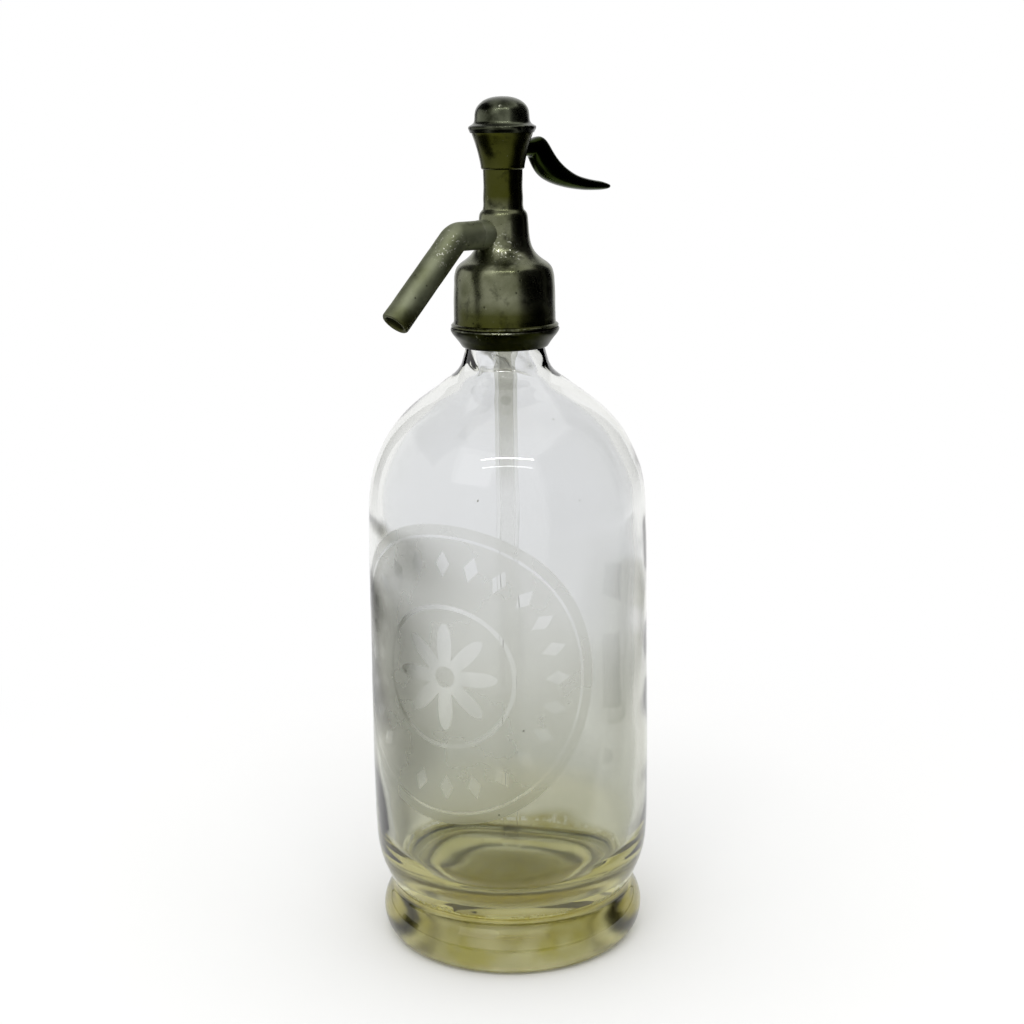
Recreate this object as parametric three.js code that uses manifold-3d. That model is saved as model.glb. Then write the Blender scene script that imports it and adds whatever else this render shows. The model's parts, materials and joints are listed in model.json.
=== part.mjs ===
// Soda siphon: a heavy glass bottle closed by a pewter head. Pressing the lever lifts a sprung valve, and
// the gas in the bottle then pushes soda water up the glass dip tube and out of the bent spout.
// Millimetres, +Z up. The origin is on the ground at the middle of the foot, the spout points along -X and
// the lever along +X. Outlines are lists of [radius, height], drawn up the outside and down the inside.
import * as THREE from "three";
import { mergeVertices } from "three/addons/utils/BufferGeometryUtils.js";
import Module from "manifold-3d";

const wasm = await Module();
wasm.setup();

// Fits that several pieces share
const seatGap = 0.3; // between two pieces that seat on each other
const pinGap = 0.2; // round the lever's pin
const overrun = 2; // how far a cut passes the surface that it opens

// Bottle outside, each rise measured from the level before it
const footRimRadius = 44.2; // outer edge of the flat ring that it stands on
const footRadius = 49.9;
const footBulgeRise = 8.5;
const footTopRise = 9.5;
const waistRadius = 45.7;
const waistRise = 4.6;
const waistLipRadius = 47.1; // sharp lower edge of the body, over the waist
const waistLipRise = 0.6;
const heelRadius = 52;
const heelRise = 20.8;
const bellyRadius = 52.4;
const bellyRise = 18;
const shoulderRadius = 51.6;
const wallRise = 101;
const neckRootRadius = 24.9;
const shoulderRise = 48;
const neckRadius = 14.4;
const neckRise = 14.2;
const gripRadius = 13.6; // under the bead, where the collar grips
const gripRise = 11.3;
const beadRadius = 15;
const beadRise = 6;
const beadRounding = 0.9;
const quarterTurn = 90; // degrees that each moulded arc turns through
const footTopTurn = 47;
const heelTurn = 27.5;
const shoulderTurn = 61.2;
const neckCurveShares = [[0.48, 0.2], [0.95, 0.39]];
const gripWaistShare = 0.45;
const wallTopShare = 0.25; // how far up the shoulder the wall's length reaches

// Bottle inside
const mouthRadius = 9.3;
const mouthRounding = 0.6;
const wallThickness = 4.8;
const floorHeight = 25;
const floorFlatRadius = 31.6;
const recessRadius = 37.5; // hollow under the foot
const recessDepth = 9;

// Split collar
const collarFootRadius = 15.3;
const collarFlangeRadius = 19.75;
const collarFlangeRise = 7.1;
const collarFlareShares = [[0.53, 0.42], [0.9, 0.76], [1, 0.9]];
const collarSleeveWall = 1.3;
const collarSleeveRise = 8.5;
const collarSplitTurn = 135; // degrees from +X, so that both splits lie away from the spout and the lever

// Head casting outside, each rise measured from the level before it
const bellLipRadius = 19.5;
const bellLipRise = 1.2;
const bellRadius = 18.4;
const bellWall = 1.5;
const bellSkirtRise = 14.6;
const bellShoulderRadius = 13; // where the bell's round shoulder turns hollow
const bellShoulderRise = 8.9;
const bellShoulderShares = [[0.01, 0.55], [0.42, 0.9]];
const throatRadius = 9.15;
const bellHollowRise = 8.2;
const bellHollowShares = [[0.47, 0.16], [0.99, 0.43]];
const throatTopRadius = 8.7;
const throatRise = 6.8;
const stemFootRadius = 7.3;
const stemStepRise = 1.9;
const stemRadius = 7.06;
const stemRise = 13.2;
const cupLedgeRadius = 7.55;
const cupLedgeRise = 0.9;
const cupRadius = 11.05;
const cupRise = 13;
const cupCurveShares = [[0.02, 0.12], [0.72, 0.66]];

// Head casting inside
const socketRadius = 7; // threaded seat of the tube nut
const chamberRadius = 5;
const chamberDepth = 9; // below the spout's axis
const chamberRise = 4.9; // above the spout's axis
const guideRadius = 4.2;
const cavityRadius = 6.4;
const cavityFloorRise = 2.2; // above the cup's ledge
const cupThreadRadius = 9;
const cupThreadDepth = 2.3;

// Spout and its boss
const spoutAxisRise = 8.4; // above the bell's shoulder
const bossRadius = 5.1;
const bossReach = 12.5; // from the head's axis
const spoutRadius = 5;
const spoutTipRadius = 5.25;
const spoutBoreRadius = 3.5;
const spoutBendReach = 21.8;
const spoutBendRadius = 6;
const spoutTipReach = 49.7;
const spoutTipDrop = 28.7;
const spoutLipChamfer = 0.9;
const spigotRadius = 3.6;
const spigotLength = 4.4;
const portRadius = 2.4;

// Seals and dip tube
const neckWasherThickness = 2;
const tubeRadius = 4.1;
const tubeBoreRadius = 2.6;
const tubeFootClearance = 5;
const tubeBeadRadius = 5.3;
const tubeBeadHeight = 1.6;
const tubeBeadRounding = 0.4;
const nutFlangeRadius = 8.4;
const nutFlangeThickness = 2.6;
const nutThreadLength = 3.5;
const nutNotchWidth = 2.4;
const nutNotchDepth = 1.2;

// Valve
const seatThickness = 1.8;
const seatFootRadius = 4.4;
const seatNoseRadius = 2.9;
const seatNoseRise = 1.3;
const seatBoreRadius = 1.8;
const valveWasherRadius = 3;
const valveWasherThickness = 2;
const holderRecessDepth = 1.3;
const holderFaceThickness = 1.8;
const holderStemRadius = 2.2;
const holderShoulderThickness = 1.2;
const holderSpigotRadius = 1.6;
const holderSpigotLength = 4;
const valveScrewRadius = 0.7;
const valveScrewLength = 6.6;
const valveScrewHeadRadius = 1.3;
const valveScrewHeadThickness = 0.8;
const sealInset = 0.9; // the cup seal's lip above the chamber's top
const sealHeight = 3.7;
const sealRimThickness = 1.2;
const sealLipThickness = 0.6;

// Spindle and return spring
const spindleClearance = 0.3; // all round, in the guide
const spindleBoreLength = 4.5;
const sillClearance = 0.5; // between the lever's nose, pressed down, and the window's lower edge
const discRadius = 5.9;
const discThickness = 1.3;
const springSpigotRadius = 4.2;
const springSpigotLength = 3;
const springWireRadius = 0.6;
const springMeanRadius = 5.4;
const springTurns = 4;

// Cap
const capSkirtLength = 2;
const capBoreRadius = 7;
const capWasherThickness = 0.7;
const capLipThickness = 0.4;
const capFlangeRadius = 12.05;
const capFlangeRise = 1.3; // from the lip's foot to the flange's edge
const capFlangeSlope = 1.3; // from the flange's edge up to the dome
const domeFootRadius = 10;
const domeFilletRise = 0.4;
const domeRadius = 9.6;
const domeWallRise = 3;
const domeCrownRise = 5.9;
const domeThickness = 3.3;
const domeChamfer = 0.6;
const domeChamferRise = 1.6;

// Lever and its pin
const leverSwing = 15; // degrees, pressed right down
const pinRise = 7.1; // above the cup's ledge
const pinReach = 7.2; // from the head's axis
const pinRadius = 1;
const pinLength = 8.6;
const leverNeckThickness = 5.8;
const leverNeckWidth = 5.4;
const leverNoseThickness = 3.2;
const leverNoseWidth = 3.6;
const leverNoseReach = 1.2; // past the head's axis
const leverShoulderReach = 11.2;
const leverTipReach = 51.6;
const leverTipDrop = 14.8;
const leverGripWidth = 6.6;
// Places along the grip: shares of the reach and of the drop for its upper and lower edge, and of the width
const leverGripShares = [
  { upper: [0.074, -0.216], lower: [0.05, 0.209], width: 0.86 },
  { upper: [0.158, -0.257], lower: [0.069, 0.236], width: 0.93 },
  { upper: [0.245, -0.007], lower: [0.084, 0.331], width: 1 },
  { upper: [0.322, 0.291], lower: [0.168, 0.635], width: 1 },
  { upper: [0.401, 0.493], lower: [0.282, 0.824], width: 0.98 },
  { upper: [0.485, 0.635], lower: [0.416, 0.956], width: 0.96 },
  { upper: [0.574, 0.736], lower: [0.537, 1.02], width: 0.94 },
  { upper: [0.668, 0.804], lower: [0.646, 1.061], width: 0.92 },
  { upper: [0.787, 0.868], lower: [0.777, 1.088], width: 0.9 },
  { upper: [0.911, 0.902], lower: [0.908, 1.081], width: 0.82 },
  { upper: [0.98, 0.946], lower: [0.98, 1.047], width: 0.55 },
  { upper: [1, 0.99], lower: [1, 1.003], width: 0.12 },
];
const noseEndShares = [0.1, 0.75]; // thickness and width left at the nose's tip, then just behind it
const thickeningShares = [0.2, 0.55]; // from the spindle to the pin, where the nose widens into the neck

// Facets round each kind of piece, and along curves
const bottleSides = 44;
const headSides = 32;
const smallSides = 22;
const fineSides = 16;
const wireSides = 6;
const leverSides = 14;
const footSteps = 3;
const shoulderSteps = 7;
const neckSteps = 4;
const innerSteps = 5;
const bellSteps = 5;
const domeSteps = 6;
const spoutBendSteps = 6;
const springStepsPerTurn = 16;
const leverSteps = 22;
const leverSquareness = 2.8; // exponent of the lever's rounded section

// Levels, worked out from the ground up
const waistBase = footBulgeRise + footTopRise;
const lipBase = waistBase + waistRise;
const heelBase = lipBase + waistLipRise;
const heelTop = heelBase + heelRise;
const bellyTop = heelTop + bellyRise;
const shoulderBase = bellyTop + wallRise;
const wallBase = (floorHeight + heelTop) / 2; // half way up the round between the floor and the wall
const neckRoot = shoulderBase + shoulderRise;
const wallTop = shoulderBase + shoulderRise * wallTopShare;
const collarBase = neckRoot + neckRise;
const beadBase = collarBase + gripRise;
const bottleTop = beadBase + beadRise;
const collarFlangeTop = collarBase + collarFlangeRise;
const collarTop = collarFlangeTop + collarSleeveRise;
const bellBase = collarFlangeTop + seatGap;
const bellCeiling = bottleTop + seatGap + neckWasherThickness + seatGap;
const bellSkirtTop = bellBase + bellLipRise + bellSkirtRise;
const bellShoulderTop = bellSkirtTop + bellShoulderRise;
const throatBase = bellShoulderTop + bellHollowRise;
const throatTop = throatBase + throatRise;
const stemBase = throatTop + stemStepRise;
const cupBase = stemBase + stemRise;
const cupLedge = cupBase + cupLedgeRise;
const cupTop = cupLedge + cupRise;
const spoutAxis = bellShoulderTop + spoutAxisRise;
const shelf = spoutAxis - chamberDepth;
const chamberTop = spoutAxis + chamberRise;
const cavityFloor = cupLedge + cavityFloorRise;
const cupThreadBase = cupTop - cupThreadDepth;
const pinHeight = cupLedge + pinRise;

// Levels of the dip tube and its nut, from the valve seat down
const tubeTop = shelf - seatGap - seatThickness - seatGap;
const tubeBeadBase = tubeTop - tubeBeadHeight;
const nutFlangeTop = bellCeiling - seatGap;
const nutTop = nutFlangeTop + nutThreadLength;

// Levels of the cap
const capBase = cupTop - capSkirtLength;
const capLipBase = cupTop + seatGap;
const capRecess = capLipBase + capWasherThickness + seatGap;
const capEdge = capLipBase + capFlangeRise;
const domeFoot = capEdge + capFlangeSlope;
const domeWallBase = domeFoot + domeFilletRise;
const domeWallTop = domeWallBase + domeWallRise;
const domeTop = domeWallTop + domeCrownRise;
const domeCeiling = domeTop - domeThickness;

// Levels of the moving valve, closed
const seatTop = shelf + seatNoseRise;
const valveWasherBase = seatTop + seatGap;
const valveWasherTop = valveWasherBase + valveWasherThickness;
const holderCeiling = valveWasherTop + seatGap;
const holderHeadTop = holderCeiling + holderFaceThickness;
const sealBase = chamberTop + sealInset;
const sealTop = sealBase + sealHeight;
const holderShoulderTop = sealTop - sealRimThickness - seatGap;
const spindleBase = sealTop + seatGap;
const spindleRadius = guideRadius - spindleClearance;
const discBase = capBase + seatGap;
const discTop = discBase + discThickness;

const radians = THREE.MathUtils.degToRad;
const valveLift = pinReach * radians(leverSwing);

// A point on the spout's level axis, and one on the axis of the lever's pin.
const onSpoutAxis = (x) => new THREE.Vector3(x, 0, spoutAxis);
const onPinAxis = (y) => new THREE.Vector3(pinReach, y, pinHeight);

// A closed geometry as a solid, with shared corners merged and faces that merging closed up left out.
function solidFrom(geometry) {
  geometry.deleteAttribute("normal");
  geometry.deleteAttribute("uv");
  const merged = mergeVertices(geometry);
  const corners = merged.index.array;
  const faces = [];
  for (let i = 0; i < corners.length; i += 3) {
    const [a, b, c] = corners.slice(i, i + 3);
    if (a !== b && b !== c && c !== a) faces.push(a, b, c);
  }
  const vertProperties = new Float32Array(merged.attributes.position.array);
  const triVerts = new Uint32Array(faces);
  return new wasm.Manifold(new wasm.Mesh({ numProp: 3, vertProperties, triVerts }));
}

// A solid turned about the +Z axis from a closed outline of [radius, height].
function turned(outline, sides) {
  const points = [...outline, outline[0]].map(([r, z]) => new THREE.Vector2(r, z));
  return solidFrom(new THREE.LatheGeometry(points, sides).rotateX(Math.PI / 2));
}

// A plain ring between two radii and two levels, or a disc where the inner radius is zero.
function ring(inner, outer, base, top, sides) {
  return turned([[inner, base], [outer, base], [outer, top], [inner, top]], sides);
}

// A round bar between two points.
function bar(radius, start, end, sides) {
  const way = new THREE.Vector3().subVectors(end, start);
  const geometry = new THREE.CylinderGeometry(radius, radius, way.length(), sides);
  const upright = new THREE.Vector3(0, 1, 0);
  geometry.applyQuaternion(new THREE.Quaternion().setFromUnitVectors(upright, way.normalize()));
  const middle = new THREE.Vector3().addVectors(start, end).multiplyScalar(0.5);
  return solidFrom(geometry.translate(middle.x, middle.y, middle.z));
}

// A box between two opposite corners, turned about the +Z axis by some degrees.
function block(low, high, turn = 0) {
  const [width, depth, height] = high.map((value, i) => value - low[i]);
  const geometry = new THREE.BoxGeometry(width, depth, height);
  geometry.translate((low[0] + high[0]) / 2, (low[1] + high[1]) / 2, (low[2] + high[2]) / 2);
  return solidFrom(geometry.rotateZ(radians(turn)));
}

// A solid skinned over rings of points, each with as many points as the next, and closed at both ends.
function lofted(rings) {
  const count = rings[0].length;
  const points = rings.flat();
  const faces = [];
  for (let i = 0; i + 1 < rings.length; i += 1) {
    for (let j = 0; j < count; j += 1) {
      const a = i * count + j;
      const b = i * count + ((j + 1) % count);
      faces.push(a, b, a + count, b, b + count, a + count);
    }
  }
  const last = points.length - count;
  for (let j = 1; j + 1 < count; j += 1) {
    faces.push(0, j + 1, j, last, last + j, last + j + 1);
  }
  const geometry = new THREE.BufferGeometry().setFromPoints(points);
  geometry.setIndex(faces);
  return solidFrom(geometry);
}

// An elliptical arc that leaves its start straight up or down and has turned by some degrees at its end.
function swell([r0, z0], [r1, z1], turn, steps) {
  const full = radians(turn);
  return Array.from({ length: steps + 1 }, (_, i) => {
    const angle = (full * i) / steps;
    const across = (1 - Math.cos(angle)) / (1 - Math.cos(full));
    const along = Math.sin(angle) / Math.sin(full);
    return [r0 + (r1 - r0) * across, z0 + (z1 - z0) * along];
  });
}

// A cubic curve between two places, its inner control points given as shares of the way across and along.
function blend([r0, z0], [r1, z1], shares, steps) {
  const place = ([across, along]) => new THREE.Vector2(r0 + (r1 - r0) * across, z0 + (z1 - z0) * along);
  const curve = new THREE.CubicBezierCurve(...[[0, 0], ...shares, [1, 1]].map(place));
  return curve.getPoints(steps).map((p) => [p.x, p.y]);
}

// Rings of a round tube in the XZ plane. Each station is a point, the tube's direction there and its radius.
function tubeRings(stations, sides) {
  return stations.map(({ point, direction, radius }) =>
    Array.from({ length: sides }, (_, i) => {
      const angle = (2 * Math.PI * i) / sides;
      const side = new THREE.Vector3(direction.z, 0, -direction.x).multiplyScalar(radius * Math.cos(angle));
      return point.clone().add(side).add(new THREE.Vector3(0, radius * Math.sin(angle), 0));
    }),
  );
}

function glassBottle() {
  const root = [neckRootRadius, neckRoot];
  const turn = radians(shoulderTurn);
  const inward = [wallThickness * Math.cos(turn), wallThickness * Math.sin(turn)];
  const innerRoot = [neckRootRadius - inward[0], neckRoot - inward[1]];
  const foot = [
    [recessRadius, 0],
    ...swell([footRadius, footBulgeRise], [footRimRadius, 0], quarterTurn, footSteps).reverse(),
    ...swell([footRadius, footBulgeRise], [waistRadius, waistBase], footTopTurn, footSteps),
  ];
  const body = [
    [waistRadius, lipBase],
    ...swell([heelRadius, heelTop], [waistLipRadius, heelBase], heelTurn, footSteps).reverse(),
    [bellyRadius, bellyTop],
    ...swell([shoulderRadius, shoulderBase], root, shoulderTurn, shoulderSteps),
    ...blend(root, [neckRadius, collarBase], neckCurveShares, neckSteps),
  ];
  const finish = [
    [gripRadius, collarBase + gripRise * gripWaistShare],
    [gripRadius, beadBase],
    [beadRadius - beadRounding, beadBase],
    [beadRadius, beadBase + beadRounding],
    [beadRadius, bottleTop - beadRounding],
    [beadRadius - beadRounding, bottleTop],
    [mouthRadius + mouthRounding, bottleTop],
    [mouthRadius, bottleTop - mouthRounding],
  ];
  const innerShoulderRadius = shoulderRadius - wallThickness;
  const innerHeelRadius = heelRadius - wallThickness;
  const inside = [
    ...blend(innerRoot, [mouthRadius, collarBase], neckCurveShares, neckSteps).reverse(),
    ...swell([innerShoulderRadius, shoulderBase], innerRoot, shoulderTurn, innerSteps).reverse(),
    [bellyRadius - wallThickness, bellyTop],
    ...swell([innerHeelRadius, heelTop], [floorFlatRadius, floorHeight], quarterTurn, footSteps),
    [0, floorHeight],
    ...swell([recessRadius, 0], [0, recessDepth], quarterTurn, footSteps).reverse(),
  ];
  return turned([...foot, ...body, ...finish, ...inside], bottleSides);
}

// The bottle is blown in one. It is kept as four lengths that meet face to face, given from the foot up.
function bottleLengths() {
  const up = [0, 0, 1];
  const lengths = [];
  let rest = glassBottle();
  for (const level of [wallBase, wallTop, neckRoot]) {
    const [above, below] = rest.splitByPlane(up, level);
    lengths.push(below);
    rest = above;
  }
  return [...lengths, rest];
}

// One half of the ring that grips the neck under the bead. Its sleeve carries the bell's screw thread.
function collarHalf(side) {
  const outer = collarFlareShares.map(([across, along]) => [
    collarFootRadius + (collarFlangeRadius - collarFootRadius) * across,
    collarBase + collarFlangeRise * along,
  ]);
  const sleeveInner = beadRadius + seatGap;
  const whole = turned(
    [
      [neckRadius + seatGap, collarBase],
      [collarFootRadius, collarBase],
      ...outer,
      [collarFlangeRadius, collarFlangeTop],
      [sleeveInner + collarSleeveWall, collarFlangeTop],
      [sleeveInner + collarSleeveWall, collarTop],
      [sleeveInner, collarTop],
      [sleeveInner, beadBase - seatGap],
      [gripRadius + seatGap, beadBase - seatGap],
      [gripRadius + seatGap, collarBase + gripRise * gripWaistShare],
    ],
    headSides,
  );
  const reach = collarFlangeRadius + overrun;
  const near = seatGap / 2;
  const turn = side > 0 ? collarSplitTurn : collarSplitTurn + 2 * quarterTurn;
  const low = [-reach, near, collarBase - overrun];
  const high = [reach, reach, collarTop + overrun];
  return whole.intersect(block(low, high, turn));
}

// The casting's outer form, from the bell's lip to the cup's rim.
function headOutline() {
  const lipTop = bellBase + bellLipRise;
  const shoulder = [bellShoulderRadius, bellShoulderTop];
  return [
    [0, bellBase],
    [bellLipRadius, bellBase],
    [bellRadius, lipTop],
    ...blend([bellRadius, bellSkirtTop], shoulder, bellShoulderShares, bellSteps),
    ...blend(shoulder, [throatRadius, throatBase], bellHollowShares, bellSteps).slice(1),
    [throatTopRadius, throatTop],
    [stemFootRadius, stemBase],
    [stemRadius, cupBase],
    ...blend([cupLedgeRadius, cupLedge], [cupRadius, cupTop], cupCurveShares, neckSteps),
    [0, cupTop],
  ];
}

// Every round hollow in the casting, from the bell up to the cup, as one turned cut.
function headHollow() {
  return [
    [0, bellBase - overrun],
    [bellRadius - bellWall, bellBase - overrun],
    [bellRadius - bellWall, bellCeiling],
    [socketRadius, bellCeiling],
    [socketRadius, shelf],
    [chamberRadius, shelf],
    [chamberRadius, chamberTop],
    [guideRadius, chamberTop],
    [guideRadius, cavityFloor],
    [cavityRadius, cavityFloor],
    [cavityRadius, cupThreadBase],
    [cupThreadRadius, cupThreadBase],
    [cupThreadRadius, cupTop + overrun],
    [0, cupTop + overrun],
  ];
}

// The slot through the cup's wall, tall enough for the lever's neck at every angle of its swing.
function leverSlot() {
  const swing = radians(leverSwing);
  const drop = (leverNeckThickness / 2) * Math.cos(swing) + (cupRadius - pinReach) * Math.sin(swing);
  const halfWidth = leverNeckWidth / 2 + seatGap;
  const sill = pinHeight - drop - seatGap;
  return block([0, -halfWidth, sill], [cupRadius + overrun, halfWidth, cupThreadBase]);
}

function headCasting() {
  const socketEnd = onSpoutAxis(spigotLength - bossReach);
  return turned(headOutline(), headSides)
    .add(bar(bossRadius, onSpoutAxis(0), onSpoutAxis(-bossReach), smallSides))
    .subtract(turned(headHollow(), headSides))
    .subtract(bar(spigotRadius + seatGap, socketEnd, onSpoutAxis(-bossReach - overrun), fineSides))
    .subtract(bar(portRadius, onSpoutAxis(0), onSpoutAxis(-bossReach), fineSides))
    .subtract(leverSlot())
    .subtract(bar(pinRadius + pinGap, onPinAxis(-cupRadius), onPinAxis(cupRadius), fineSides));
}

// Stations down the spout's middle: straight out of the boss, round the bend and straight to the lip.
function spoutPath(start, radii) {
  const fall = Math.atan2(spoutTipDrop, spoutTipReach - spoutBendReach);
  const corner = new THREE.Vector3(-spoutBendReach, 0, spoutAxis);
  const tip = new THREE.Vector3(-spoutTipReach, 0, spoutAxis - spoutTipDrop);
  const level = new THREE.Vector3(-1, 0, 0);
  const slope = new THREE.Vector3(-Math.cos(fall), 0, -Math.sin(fall));
  const setBack = spoutBendRadius * Math.tan(fall / 2);
  const stations = [{ point: onSpoutAxis(-start), direction: level, radius: radii.bend }];
  const centre = new THREE.Vector3(-spoutBendReach + setBack, 0, spoutAxis - spoutBendRadius);
  for (let i = 0; i <= spoutBendSteps; i += 1) {
    const angle = (fall * i) / spoutBendSteps;
    const point = centre.clone();
    point.x -= spoutBendRadius * Math.sin(angle);
    point.z += spoutBendRadius * Math.cos(angle);
    const direction = new THREE.Vector3(-Math.cos(angle), 0, -Math.sin(angle));
    stations.push({ point, direction, radius: radii.bend });
  }
  const run = corner.distanceTo(tip);
  for (const { before, radius } of radii.tip) {
    stations.push({ point: corner.clone().addScaledVector(slope, run - before), direction: slope, radius });
  }
  return stations;
}

function spout() {
  const start = bossReach + seatGap;
  const skin = [
    { before: spoutLipChamfer, radius: spoutTipRadius },
    { before: 0, radius: spoutTipRadius - spoutLipChamfer },
  ];
  const bore = [{ before: -overrun, radius: spoutBoreRadius }];
  const boreStart = start + overrun;
  const port = bar(portRadius, onSpoutAxis(0), onSpoutAxis(-boreStart - overrun), fineSides);
  const spigotEnd = start - spigotLength;
  return lofted(tubeRings(spoutPath(start, { bend: spoutRadius, tip: skin }), smallSides))
    .add(bar(spigotRadius, onSpoutAxis(-spigotEnd), onSpoutAxis(-start - overrun), fineSides))
    .subtract(lofted(tubeRings(spoutPath(boreStart, { bend: spoutBoreRadius, tip: bore }), fineSides)))
    .subtract(port);
}

function neckWasher() {
  const bore = nutFlangeRadius + 2 * seatGap;
  return ring(bore, beadRadius, bottleTop + seatGap, bellCeiling - seatGap, smallSides);
}

// The dip tube hangs on the bead at its top and ends a little above the bottle's floor.
function dipTube() {
  const foot = floorHeight + tubeFootClearance;
  return turned(
    [
      [tubeBoreRadius, foot],
      [tubeRadius, foot],
      [tubeRadius, tubeBeadBase],
      [tubeBeadRadius - tubeBeadRounding, tubeBeadBase],
      [tubeBeadRadius, tubeBeadBase + tubeBeadRounding],
      [tubeBeadRadius, tubeTop - tubeBeadRounding],
      [tubeBeadRadius - tubeBeadRounding, tubeTop],
      [tubeBoreRadius, tubeTop],
    ],
    smallSides,
  );
}

function tubeGrommet() {
  const outer = socketRadius - seatGap;
  return ring(tubeRadius + seatGap, outer, nutTop + seatGap, tubeBeadBase - seatGap, smallSides);
}

// A flanged nut whose two notches take a pin spanner.
function tubeNut() {
  const flangeBase = nutFlangeTop - nutFlangeThickness;
  const bore = tubeRadius + seatGap;
  const body = turned(
    [
      [bore, flangeBase],
      [nutFlangeRadius, flangeBase],
      [nutFlangeRadius, nutFlangeTop],
      [socketRadius - seatGap, nutFlangeTop],
      [socketRadius - seatGap, nutTop],
      [bore, nutTop],
    ],
    smallSides,
  );
  const reach = nutFlangeRadius + overrun;
  const half = nutNotchWidth / 2;
  const notches = block([-reach, -half, flangeBase - overrun], [reach, half, flangeBase + nutNotchDepth]);
  return body.subtract(notches);
}

function valveSeat() {
  const top = shelf - seatGap;
  const outer = socketRadius - seatGap;
  return turned(
    [
      [seatBoreRadius, top - seatThickness],
      [outer, top - seatThickness],
      [outer, top],
      [seatFootRadius, top],
      [seatNoseRadius, seatTop],
      [seatBoreRadius, seatTop],
    ],
    smallSides,
  );
}

function valveWasher() {
  return ring(valveScrewRadius + seatGap, valveWasherRadius, valveWasherBase, valveWasherTop, fineSides);
}

// The screw's head sits under the washer, inside the seat's bore.
function valveScrew() {
  const headTop = valveWasherBase - seatGap;
  return turned(
    [
      [0, headTop - valveScrewHeadThickness],
      [valveScrewHeadRadius, headTop - valveScrewHeadThickness],
      [valveScrewHeadRadius, headTop],
      [valveScrewRadius, headTop],
      [valveScrewRadius, headTop + valveScrewLength],
      [0, headTop + valveScrewLength],
    ],
    fineSides,
  );
}

// A turned holder: its recess takes the washer, its spigot screws up into the spindle through the cup seal.
function valveHolder() {
  const lip = holderCeiling - holderRecessDepth;
  const recess = valveWasherRadius + seatGap;
  const screwHole = valveScrewRadius + seatGap;
  const holeTop = valveWasherBase + valveScrewLength + seatGap;
  const shoulderRadius = spindleRadius - sealLipThickness - seatGap;
  return turned(
    [
      [recess, lip],
      [spindleRadius, lip],
      [spindleRadius, holderHeadTop],
      [holderStemRadius, holderHeadTop],
      [holderStemRadius, holderShoulderTop - holderShoulderThickness],
      [shoulderRadius, holderShoulderTop - holderShoulderThickness],
      [shoulderRadius, holderShoulderTop],
      [holderSpigotRadius, holderShoulderTop],
      [holderSpigotRadius, spindleBase + holderSpigotLength],
      [0, spindleBase + holderSpigotLength],
      [0, holeTop],
      [screwHole, holeTop],
      [screwHole, holderCeiling],
      [recess, holderCeiling],
    ],
    fineSides,
  );
}

// A leather cup, open downwards, so that the pressure below spreads its lip against the guide.
function cupSeal() {
  const lipInner = spindleRadius - sealLipThickness;
  return turned(
    [
      [holderSpigotRadius + seatGap, sealTop - sealRimThickness],
      [lipInner, sealTop - sealRimThickness],
      [lipInner, sealBase],
      [spindleRadius, sealBase],
      [spindleRadius, sealTop],
      [holderSpigotRadius + seatGap, sealTop],
    ],
    fineSides,
  );
}

// The spindle: a guide rod with a window for the lever's nose, and a disc and spigot that carry the spring.
function pistonSpindle() {
  const body = turned(
    [
      [0, spindleBase],
      [spindleRadius, spindleBase],
      [spindleRadius, discBase],
      [discRadius, discBase],
      [discRadius, discTop],
      [springSpigotRadius, discTop],
      [springSpigotRadius, discTop + springSpigotLength],
      [0, discTop + springSpigotLength],
    ],
    smallSides,
  );
  const half = leverNoseThickness / 2;
  const lag = valveLift - (pinReach - spindleRadius) * Math.sin(radians(leverSwing));
  const sill = pinHeight - half - lag - sillClearance;
  const halfWidth = leverNoseWidth / 2 + seatGap;
  const reach = spindleRadius + overrun;
  const window = block([-reach, -halfWidth, sill], [reach, halfWidth, pinHeight + half + seatGap]);
  const boreTop = spindleBase + spindleBoreLength;
  const bore = ring(0, holderSpigotRadius + seatGap, spindleBase - overrun, boreTop, fineSides);
  return body.subtract(window).subtract(bore);
}

function cap() {
  const skirt = cupThreadRadius - seatGap;
  const lipInner = cupRadius + seatGap;
  return turned(
    [
      [capBoreRadius, capBase],
      [skirt, capBase],
      [skirt, capRecess],
      [lipInner, capRecess],
      [lipInner, capLipBase],
      [lipInner + capLipThickness, capLipBase],
      [capFlangeRadius, capEdge],
      [domeFootRadius, domeFoot],
      [domeRadius, domeWallBase],
      ...swell([domeRadius, domeWallTop], [0, domeTop], quarterTurn, domeSteps),
      [0, domeCeiling],
      [capBoreRadius - domeChamfer, domeCeiling],
      [capBoreRadius, domeCeiling - domeChamferRise],
    ],
    headSides,
  );
}

function capWasher() {
  return ring(cupThreadRadius, cupRadius, capLipBase, capLipBase + capWasherThickness, headSides);
}

// A plain helix of round wire, from the spindle's disc up to the cap's ceiling.
function returnSpring() {
  const low = discTop + seatGap + springWireRadius;
  const rise = domeCeiling - seatGap - springWireRadius - low;
  const steps = springTurns * springStepsPerTurn;
  const rings = Array.from({ length: steps + 1 }, (_, i) => {
    const turn = (2 * Math.PI * i) / springStepsPerTurn;
    const outward = new THREE.Vector3(Math.cos(turn), Math.sin(turn), 0);
    const middle = outward.clone().multiplyScalar(springMeanRadius).setZ(low + (rise * i) / steps);
    return Array.from({ length: wireSides }, (_, j) => {
      const angle = (-2 * Math.PI * j) / wireSides;
      const lifted = new THREE.Vector3(0, 0, springWireRadius * Math.sin(angle));
      return middle.clone().addScaledVector(outward, springWireRadius * Math.cos(angle)).add(lifted);
    });
  });
  return lofted(rings);
}

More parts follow.
